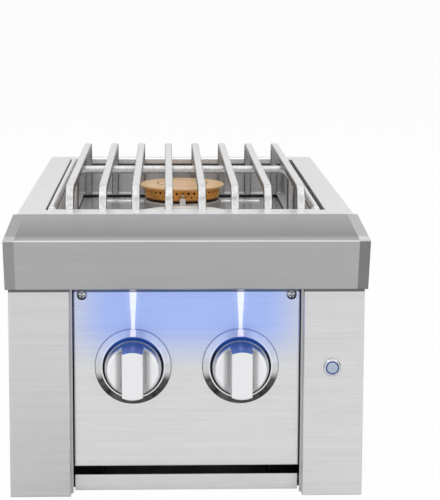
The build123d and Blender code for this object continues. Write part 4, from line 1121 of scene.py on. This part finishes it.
@dataclass
class InletPipe:
    """Gas inlet: a long pipe whose end outside the box has a male thread."""

    outer: float = 0.01065
    crest: float = 0.0103
    bore: float = 0.0080
    thread: float = 0.0180
    pitch: float = 0.0018
    cut: float = 0.0010
    chamfer: float = 0.0012
    ease: float = 0.0006
    run_out: float = 0.0005
    rows: int = 121
    columns: int = 64

    def build(self, material: Material) -> None:
        """Carries the pipe's closed profile round its axis.

        On the thread the radius is crest - cut * |2 f - 1|, where f is the fraction of a
        turn left in y / pitch - t / 2 pi, so that the ridge climbs one pitch in each turn.
        The cut fades out over the first and last pitch.
        """
        low, high, axis = lathe_box("inlet_pipe")
        angle = around(self.columns)
        run = np.linspace(0.0, self.thread, self.rows)[:, None]
        turn = run / self.pitch - angle / (2.0 * np.pi)
        saw = np.abs(2.0 * (turn - np.floor(turn)) - 1.0)
        fade = np.clip(np.minimum(run, self.thread - run) / self.pitch, 0.0, 1.0)
        taper = np.clip((run - self.thread + self.chamfer) / self.chamfer, 0.0, 1.0)
        ridge = self.crest - self.cut * np.maximum(saw * fade, taper)
        start = high.y - self.thread
        plain_r = np.array([self.bore, self.outer - self.ease, self.outer, self.outer, self.outer])[:, None]
        plain_y = np.array([low.y, low.y, low.y + self.ease, start - self.run_out, start])[:, None]
        radius = np.concatenate([plain_r + 0.0 * angle, ridge, np.full((1, self.columns), self.bore)])
        along = np.concatenate([plain_y, start + run, np.array([[high.y]])]) + 0.0 * angle
        pipe = Surface.turned(radius, along, self.columns, looped=True).placed(axis, REARWARD)
        pipe.build("threaded_inlet", material, "gas_pipe", CHASSIS, "inlet_pipe")


@dataclass
class Grommet:
    """Rubber grommet with a round lip on each side of the rear wall."""

    bore: float = 0.0040
    neck: float = 0.00795
    flange: float = 0.0110
    lip: float = 0.0020
    ease: float = 0.0008
    steps: int = 13
    columns: int = 64

    def build(self, material: Material) -> None:
        """Carries the closed profile round the cable's axis.

        Each lip ends in a half circle of radius lip / 2, (flange - lip / 2 + c cos a,
        m + c sin a) for a from -90 to 90 degrees, with m at the middle of the lip.
        """
        low, high, axis = lathe_box("cable_grommet")
        c = self.lip / 2
        a = np.linspace(-np.pi / 2, np.pi / 2, self.steps)
        edge = self.flange - c + c * np.cos(a)
        wave = c * np.sin(a)
        mouth = self.bore + self.ease
        radius = np.concatenate([[mouth], edge, [self.neck, self.neck], edge, [mouth, self.bore, self.bore]])
        lips = (low.y + c + wave, [low.y + self.lip, high.y - self.lip], high.y - c + wave)
        throat = [high.y, high.y - self.ease, low.y + self.ease]
        along = np.concatenate([[low.y], *lips, throat])
        ring = Surface.turned(radius, along, self.columns, looped=True).placed(axis, REARWARD)
        ring.build("round_lip_grommet", material, "grommet_rubber", CHASSIS, "cable_grommet")


@dataclass
class LampLenses:
    """Two lamp lenses that end in a low dome under the cap's lip."""

    dome: float = 0.0012
    steps: int = 15
    columns: int = 48

    def build(self, material: Material) -> None:
        """Turns each lens on its own axis.

        The dome is a quarter ellipse, (R sin a, z + dome (1 - cos a)) for a from 0 to
        90 degrees, and a straight barrel and a flat top close it.
        """
        low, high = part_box("lamp_lenses")
        size = (high.y - low.y) / 2
        a = np.linspace(0.0, np.pi / 2, self.steps)
        radius = np.concatenate([size * np.sin(a), [size, 0.0]])
        along = np.concatenate([low.z + self.dome * (1.0 - np.cos(a)), [high.z, high.z]])
        lens = Surface.turned(radius, along, self.columns)
        pair = [lens.placed((x, low.y + size, 0.0)) for x in (low.x + size, high.x - size)]
        Surface.joined(pair).build("domed_lenses", material, "lamp_glass", CHASSIS, "lamp_lenses")


@dataclass
class WeldBeads:
    """Small weld beads in the corners between the cross rod and the bars."""

    bars: int = 8
    first: float = 0.1172
    rod_y: float = 0.0811
    bar: float = 0.0084
    reach: float = 0.0036
    drop: float = 0.0006
    half: Triple = (0.0041, 0.0016, 0.0014)
    ripple: float = 0.06
    ripples: float = 9.0
    rows: int = 13
    columns: int = 20

    def build(self, material: Material) -> None:
        """Lays a bead before and behind the rod under each bar.

        A bead is an ellipsoid about its own X axis: a circle of radius sin p at cos p
        along the axis, for p from 0 to 180 degrees, stretched to the three half sizes. A
        ripple along the axis stands for the bead's steps.
        """
        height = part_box("grate")[1].z - self.bar - self.drop
        p = np.linspace(0.0, np.pi, self.rows)
        girth = np.sin(p) * (1.0 + self.ripple * np.cos(self.ripples * p))
        bead = Surface.turned(girth, np.cos(p), self.columns).placed(ORIGIN, (1.0, 0.0, 0.0))
        bead = Surface(bead.points * np.array(self.half), bead.faces)
        across = np.linspace(-self.first, self.first, self.bars)
        set_backs = (self.rod_y - self.reach, self.rod_y + self.reach)
        beads = [bead.placed((x, y, height)) for x in across for y in set_backs]
        Surface.joined(beads).build("grate_weld_beads", material, "grate_steel", "grate")


@dataclass(frozen=True)
class ReturnSpring:
    """Coil spring that a joint pushes against when it is pressed."""

    node: str
    piece: str
    body: str
    joint: str
    travel: float
    held: str
    wire: float = 0.0012
    turns: int = 4
    steps: int = 193
    columns: int = 12

    def build(self, material: Material) -> None:
        """Carries the wire's circle along the coil.

        At the angle t the wire's middle lies at (R cos t, R sin t) from the axis and t / 2 pi
        turns along it. The circle round it has the outward direction and the axis as its
        two ways. A row at each end that is drawn in to the middle closes the wire.

        Args:
            material: The spring's finish.
        """
        low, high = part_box(self.node)
        centre = (low + high) / 2
        half = self.wire / 2
        t = np.linspace(0.0, 2.0 * np.pi * self.turns, self.steps)[:, None]
        a = around(self.columns)
        thick = np.full((self.steps, 1), half)
        thick[[0, -1]] = 0.0
        radius = (high.x - low.x) / 2 - half + thick * np.cos(a)
        rise = (high.y - low.y - self.wire) * t / t[-1] + low.y + half
        along = rise + thick * np.sin(a)
        points = np.stack([centre.x + radius * np.cos(t), along, centre.z + radius * np.sin(t)], axis=-1)
        coil = Surface.grid(points).build(self.piece, material, "spring_steel", self.body, self.node)
        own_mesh(coil)


@dataclass
class Housing:
    """Posts, panel, box, front cap and deck."""

    glow: bpy.types.NodeTree
    # Heights, below the cap's lower edge, of the painted lip shadow on the posts and on the panel.
    post_shade: Pair = (-0.0028, -0.0018)
    panel_shade: Pair = (-0.0044, -0.0034)

    def dress(self) -> None:
        """Gives every sheet its brushed finish."""
        low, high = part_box("front_cap")
        shades = (self.post_shade, self.panel_shade)
        post_lip_shadow, panel_lip_shadow = [tuple(low.z + v for v in shade) for shade in shades]
        box = BrushedSteel("box_steel", (0.50, 0.51, 0.52), 0.48, contrast=0.2, haze=0.14).build()
        # Painted shade: the cross member and the manifold brackets, which show through the gaps behind the
        # panel, are near black.
        inner = BrushedSteel("shadowed_inner_steel", grey(0.05), 0.60, contrast=0.2).build()
        flange = BrushedSteel("flange_steel", (0.55, 0.55, 0.56), 0.45, contrast=0.2).build()
        dress_nodes(box, "left_side_wall", "right_side_wall", "rear_wall")
        dress_nodes(box, "left_tray_ledge", "right_tray_ledge")
        dress_nodes(inner, "panel_cross_member", "manifold_brackets")
        sheets = {
            # Painted shade: the left post is a darker copy of the right post's steel, and darkens further
            # towards its foot.
            "left_post": FootShadedSteel("left_post_steel", grey(0.69), 0.42, foot=0.85, lip_shadow=post_lip_shadow),
            "right_post": FootShadedSteel("right_post_steel", grey(0.72), 0.42, lip_shadow=post_lip_shadow),
            "control_panel": LitSteel("panel_steel", grey(0.75), 0.42, glow=self.glow, lip_shadow=panel_lip_shadow),
            "base_pan": RailSteel("rail_steel", grey(0.76), 0.40, lip=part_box("base_pan")[0].y),
            "front_cap": CapSteel("cap_steel", grey(0.485), 0.46, front=low.y, rear=high.y),
            "top_deck": BrushedSteel("deck_steel", grey(0.97), 0.36, grain=Grain.REARWARDS, contrast=0.16),
        }
        for name, finish in sheets.items():
            dress_nodes(finish.build(), name)
        PostFlanges().build(flange)


@dataclass
class Cooktop:
    """Pan, drip tray, grate and the two burners."""

    bore: float = 0.0444
    groove: float = 0.0300
    # Width of the painted shadow along the drip tray's edges, under the pan's ledge.
    ledge: float = 0.0065
    # Painted light on the pan's walls towards the rim, and the height of a painted shadow line below it.
    rim: Triple = (-0.024, -0.008, 1.33)
    rim_shadow_line: float = -0.0083
    cap_colours: dict[str, Colour] = field(
        default_factory=lambda: {"front": (1.0, 0.90, 0.80), "rear": (1.0, 0.64, 0.33)}
    )

    def dress(self) -> None:
        """Gives the pan, grate and burners their finishes."""
        centres = {name: tuple(sum(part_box(name + "_burner_cap"), Vector()) / 2) for name in self.cap_colours}
        axes = tuple(centres.values())
        low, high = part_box("drip_tray")
        border = (tuple(low), tuple(high), self.ledge)
        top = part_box("burner_pan")[1].z
        start, end, rim_light_gain = self.rim
        # Painted shading: a painted highlight on the pan's bends, painted light towards its rim and a painted
        # shadow line below it.
        pan = PolishedSteel(
            "pan_steel", (0.70, 0.70, 0.71), 0.42, 0.65, burners=axes, flank_shade=0.95, bend_shading=1.35,
            rim=(top + start, top + end, rim_light_gain), rim_shadow_line=top + self.rim_shadow_line,
        )
        tray = PolishedSteel("tray_steel", (0.86, 0.86, 0.87), 0.24, burners=axes, border=border)
        # Painted shading: darker flanks, bends and rear legs on the grate.
        grate = PolishedSteel(
            "grate_steel", grey(0.97), 0.36, edge_radius=0.0014, burners=axes, tint=0.05, mottle=0.16,
            flank_shade=0.22, bend_shading=0.66, front=0.55,
        ).build()
        dress_nodes(pan.build(), "burner_pan")
        dress_nodes(tray.build(), "drip_tray")
        dress_nodes(grate, "grate")
        WeldBeads().build(grate)
        dress_nodes(PolishedSteel("electrode_steel", (0.55, 0.54, 0.52), 0.30).build(), "igniter_electrodes")
        sleeve = Moulding("lead_sleeve", (0.62, 0.60, 0.56), 0.60, pebble=2400.0, swing=0.2)
        dress_nodes(sleeve.build(), "igniter_leads")
        shared = {
            "_burner_bowl": CastMetal("bowl_casting", (0.62, 0.61, 0.60), 0.45),
            "_igniter_ceramic": Moulding("igniter_ceramic", (0.98, 0.95, 0.90), 0.35, swing=0.03),
            "_mixing_tube": PolishedSteel("tube_steel", grey(0.58), 0.35),
        }
        for ending, finish in shared.items():
            dress_nodes(finish.build(), *[name + ending for name in centres])
        for name, centre in centres.items():
            cap = BurnerBrass(
                name + "_cap_brass", self.cap_colours[name], 0.34, 0.15, centre=centre, axis=Axis.UPWARDS,
                lines=900.0, patch_share=0.05, groove=self.groove,
            )
            ring = BurnerBrass(
                name + "_ring_brass", (1.0, 0.44, 0.092), 0.42, 0.55, centre=centre, axis=Axis.UPWARDS,
                bore=self.bore,
            )
            dress_nodes(cap.build(), name + "_burner_cap")
            dress_nodes(ring.build(), name + "_burner_ring")


@dataclass
class Controls:
    """Knobs, bezels, valves, lamps and the lit switch."""

    glow: bpy.types.NodeTree
    sides: tuple[str, str] = ("left", "right")
    grip_rise: float = 0.0140
    push: float = 0.0045
    press: float = 0.0020

    def dress(self) -> None:
        """Gives the controls their finishes."""
        spring = PolishedSteel("spring_steel", (0.45, 0.45, 0.46), 0.30).build()
        stem = PolishedSteel("stem_steel", grey(0.60), 0.25).build()
        brass = CastMetal("valve_brass", (0.70, 0.50, 0.22), 0.38).build()
        skirt = KnobMetal("skirt_metal", (0.50, 0.51, 0.53), 0.25, contrast=0.06, haze=0.02).build()
        for side in self.sides:
            self._knob(side, skirt)
            valve = side + "_valve_"
            dress_nodes(stem, valve + "stem")
            dress_nodes(spring, valve + "spring")
            dress_nodes(brass, valve + "body", valve + "plug")
            knob = side + "_knob"
            ReturnSpring(
                valve + "spring", side + "_return_coil", knob, knob + "_push", self.push, "front"
            ).build(spring)
        dress_nodes(brass, "valve_jets")
        dress_nodes(Moulding("spark_plastic", (0.05, 0.05, 0.055), 0.45).build(), "spark_units")
        dress_nodes(Moulding("lamp_plastic", (0.72, 0.74, 0.78), 0.35).build(), "lamp_bodies")
        glass = Luminous("lamp_glass", (0.9, 0.93, 1.0), 0.15, light=(0.85, 0.92, 1.0), strength=3.0).build()
        dress_nodes(glass, "lamp_lenses")
        LampLenses().build(glass)
        self._switch(spring)

    def _knob(self, side: str, skirt: Material) -> None:
        """Dresses one knob and its bezel.

        Args:
            side: Which of the two knobs.
            skirt: The finish of the knob's skirt.
        """
        low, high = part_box(side + "_bezel")
        centre = tuple((low + high) / 2)
        knob = KnobMetal(
            "knob_metal_" + side, (0.87, 0.875, 0.89), 0.30, contrast=0.06, haze=0.02,
            middle=centre[0], face=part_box(side + "_knob")[0].y + self.grip_rise,
        )
        bezel = BezelMetal("bezel_metal_" + side, (0.86, 0.86, 0.87), 0.26, centre=centre, glow=self.glow)
        dress_nodes(knob.build(), side + "_knob")
        dress_nodes(bezel.build(), side + "_bezel")
        KnobSkirts().build(side, skirt)

    def _switch(self, spring: Material) -> None:
        """Dresses the lit push switch.

        Args:
            spring: The finish of its return spring.
        """
        low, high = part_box("switch_body")
        turned = {"centre": tuple((low + high) / 2), "contrast": 0.1}
        chrome = TurnedMetal("switch_metal", (0.62, 0.63, 0.67), 0.14, **turned)
        button = TurnedMetal("button_metal", (0.46, 0.52, 0.64), 0.25, **turned)
        ring = Luminous("light_ring", (0.02, 0.04, 0.16), 0.25, light=(0.005, 0.018, 0.10))
        dress_nodes(chrome.build(), "switch_body", "switch_nut")
        dress_nodes(button.build(), "switch_button")
        dress_nodes(ring.build(), "switch_light_ring")
        dress_nodes(spring, "switch_spring")
        ReturnSpring(
            "switch_spring", "switch_return_coil", CHASSIS, "switch_press", self.press, "rear"
        ).build(spring)


@dataclass
class GasLine:
    """Manifold, elbow, inlet and their fittings."""

    def dress(self) -> None:
        """Gives the pipes, screws and grommet their finishes."""
        pipe = CastMetal("gas_pipe", (0.46, 0.46, 0.47), 0.42).build()
        screw = PolishedSteel("screw_steel", (0.50, 0.50, 0.51), 0.28).build()
        rubber = Moulding("grommet_rubber", (0.030, 0.030, 0.032), 0.60).build()
        dress_nodes(pipe, "manifold_pipe", "manifold_plug", "inlet_elbow", "inlet_pipe", "inlet_locknut")
        dress_nodes(screw, "panel_screws", "ledge_screws", "rear_wall_screws", "burner_screws")
        dress_nodes(rubber, "cable_grommet")
        InletPipe().build(pipe)
        ScrewHeads().build(screw)
        PanelScrews().build(PlatedSteel("plated_steel", (0.60, 0.63, 0.70), 0.14).build())
        Grommet().build(rubber)


@dataclass(frozen=True)
class Softbox:
    """Square studio lamp that looks at a point."""

    name: str
    place: Triple
    aim: Triple
    width: float
    power: float

    def build(self) -> None:
        """Hangs the lamp."""
        light = bpy.data.lights.new(self.name, "AREA")
        light.size = self.width
        light.energy = self.power
        lamp = bpy.data.objects.new(self.name, light)
        lamp.location = self.place
        ray = Vector(self.aim) - Vector(self.place)
        lamp.rotation_euler = ray.to_track_quat("-Z", "Y").to_euler()
        bpy.context.scene.collection.objects.link(lamp)


@dataclass(frozen=True)
class PhotoCamera:
    """Camera at the photograph's viewing angle, with its angles in radians."""

    place: Triple = (-0.01995, -1.7073, 0.4974)
    pitch: float = 0.1301
    yaw: float = 0.0350
    roll: float = 0.0044
    lens: float = 112.44
    shift_up: float = -0.15
    sight: float = 200.0

    def build(self) -> None:
        """Places the camera, turned by its roll, then its pitch, then its yaw."""
        data = bpy.data.cameras.new("photo_camera")
        data.lens = self.lens
        data.shift_y = self.shift_up
        data.clip_end = self.sight
        camera = bpy.data.objects.new("photo_camera", data)
        camera.location = self.place
        turns = ((-self.yaw, "Z"), (math.pi / 2 - self.pitch, "X"), (self.roll, "Z"))
        turn = reduce(lambda a, b: a @ b, [Matrix.Rotation(angle, 3, axis) for angle, axis in turns])
        camera.rotation_euler = turn.to_euler()
        bpy.context.scene.collection.objects.link(camera)
        bpy.context.scene.camera = camera


@dataclass
class Studio:
    """Pale floor, soft light from above and a white surround."""

    floor_half: float = 40.0
    floor_drop: float = -0.0005
    floor_tone: float = 0.88
    seen_share: float = 0.96
    mirrored_share: float = 0.30
    high_tone: float = 0.50
    near_fade: Pair = (0.12, 0.40)
    far_fade: Pair = (0.24, 0.60)
    zenith: float = 0.20
    side_tone: float = 0.35
    surround: float = 0.80
    lamps: tuple[Softbox, ...] = (
        Softbox("overhead_lamp", (0.0, -0.1, 2.2), (0.0, 0.0, 0.2), 4.2, 44.0),
        Softbox("left_lamp", (-1.9, -1.5, 1.5), (0.0, -0.1, 0.15), 3.4, 21.0),
        Softbox("right_lamp", (1.9, -1.6, 1.2), (0.0, -0.1, 0.15), 3.0, 16.0),
    )

    def build(self) -> None:
        """Builds the floor, the surround and the lamps."""
        bpy.context.scene.view_settings.view_transform = "Standard"
        self._floor()
        self._world()
        for lamp in self.lamps:
            lamp.build()

    def _floor(self) -> None:
        """Lays the floor: a square sheet whose seen colour is nearly white."""
        half = self.floor_half
        corners = [(x * half, y * half, self.floor_drop) for x, y in ((-1, -1), (1, -1), (1, 1), (-1, 1))]
        mesh = bpy.data.meshes.new("floor")
        mesh.from_pydata(corners, [], [(0, 1, 2, 3)])
        floor = bpy.data.objects.new("floor", mesh)
        bpy.context.scene.collection.objects.link(floor)
        material = bpy.data.materials.new("floor_paint")
        material.use_nodes = True
        material.node_tree.nodes.clear()
        board = Board(material.node_tree)
        paint = board.add("ShaderNodeBsdfDiffuse", {"Color": (*grey(self.floor_tone), 1.0)})
        white = board.add("ShaderNodeEmission", {"Color": (*WHITE, 1.0), "Strength": 1.0})
        path = board.add("ShaderNodeLightPath").outputs
        mirrored = board.math("MAXIMUM", path["Is Glossy Ray"], path["Is Transmission Ray"])
        seen = board.times(path["Is Camera Ray"], self.seen_share)
        share = board.math("MAXIMUM", seen, board.times(mirrored, self.mirrored_share))
        mixed = board.add("ShaderNodeMixShader", {0: share, 1: paint.outputs[0], 2: white.outputs[0]})
        board.add("ShaderNodeOutputMaterial", {"Surface": mixed.outputs[0]})
        mesh.materials.append(material)

    def _world(self) -> None:
        """Paints the surround: white as seen, and for its light white low down and dimmer at the sides."""
        world = bpy.data.worlds.new("surround")
        world.use_nodes = True
        world.node_tree.nodes.clear()
        board = Board(world.node_tree)
        x, y, up = board.split(board.add("ShaderNodeTexCoord").outputs["Generated"])
        near, far = [board.span(up, *fade, 1.0, self.high_tone) for fade in (self.near_fade, self.far_fade)]
        low = board.blend(board.span(y, 0.0, 0.5), near, far)
        tone = board.plus(low, board.span(up, 0.45, 1.0, 0.0, self.zenith))
        aside = board.span(board.gap(x), 0.55, 0.92, 1.0, self.side_tone)
        seen = board.add("ShaderNodeLightPath").outputs["Is Camera Ray"]
        strength = board.blend(seen, board.times(tone, aside, self.surround), 1.0)
        back = board.add("ShaderNodeBackground", {"Color": (*WHITE, 1.0), "Strength": strength})
        board.add("ShaderNodeOutputWorld", {"Surface": back.outputs[0]})
        bpy.context.scene.world = world


def main() -> None:
    """Builds the scene in order."""
    logging.basicConfig(level=logging.INFO)
    Studio().build()
    PhotoCamera().build()
    lens_low, lens_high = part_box("lamp_lenses")
    bezel_low, bezel_high, bezel_axis = lathe_box("left_bezel")
    glow = LampGlow(
        side=lens_high.x - (lens_high.y - lens_low.y) / 2,
        top=lens_low.z,
        knob=bezel_axis[2],
        rim=(bezel_high.z - bezel_low.z) / 2,
    ).build()
    for assembly in (Housing(glow), Cooktop(), Controls(glow), GasLine()):
        assembly.dress()


if __name__ == "__main__":
    main()
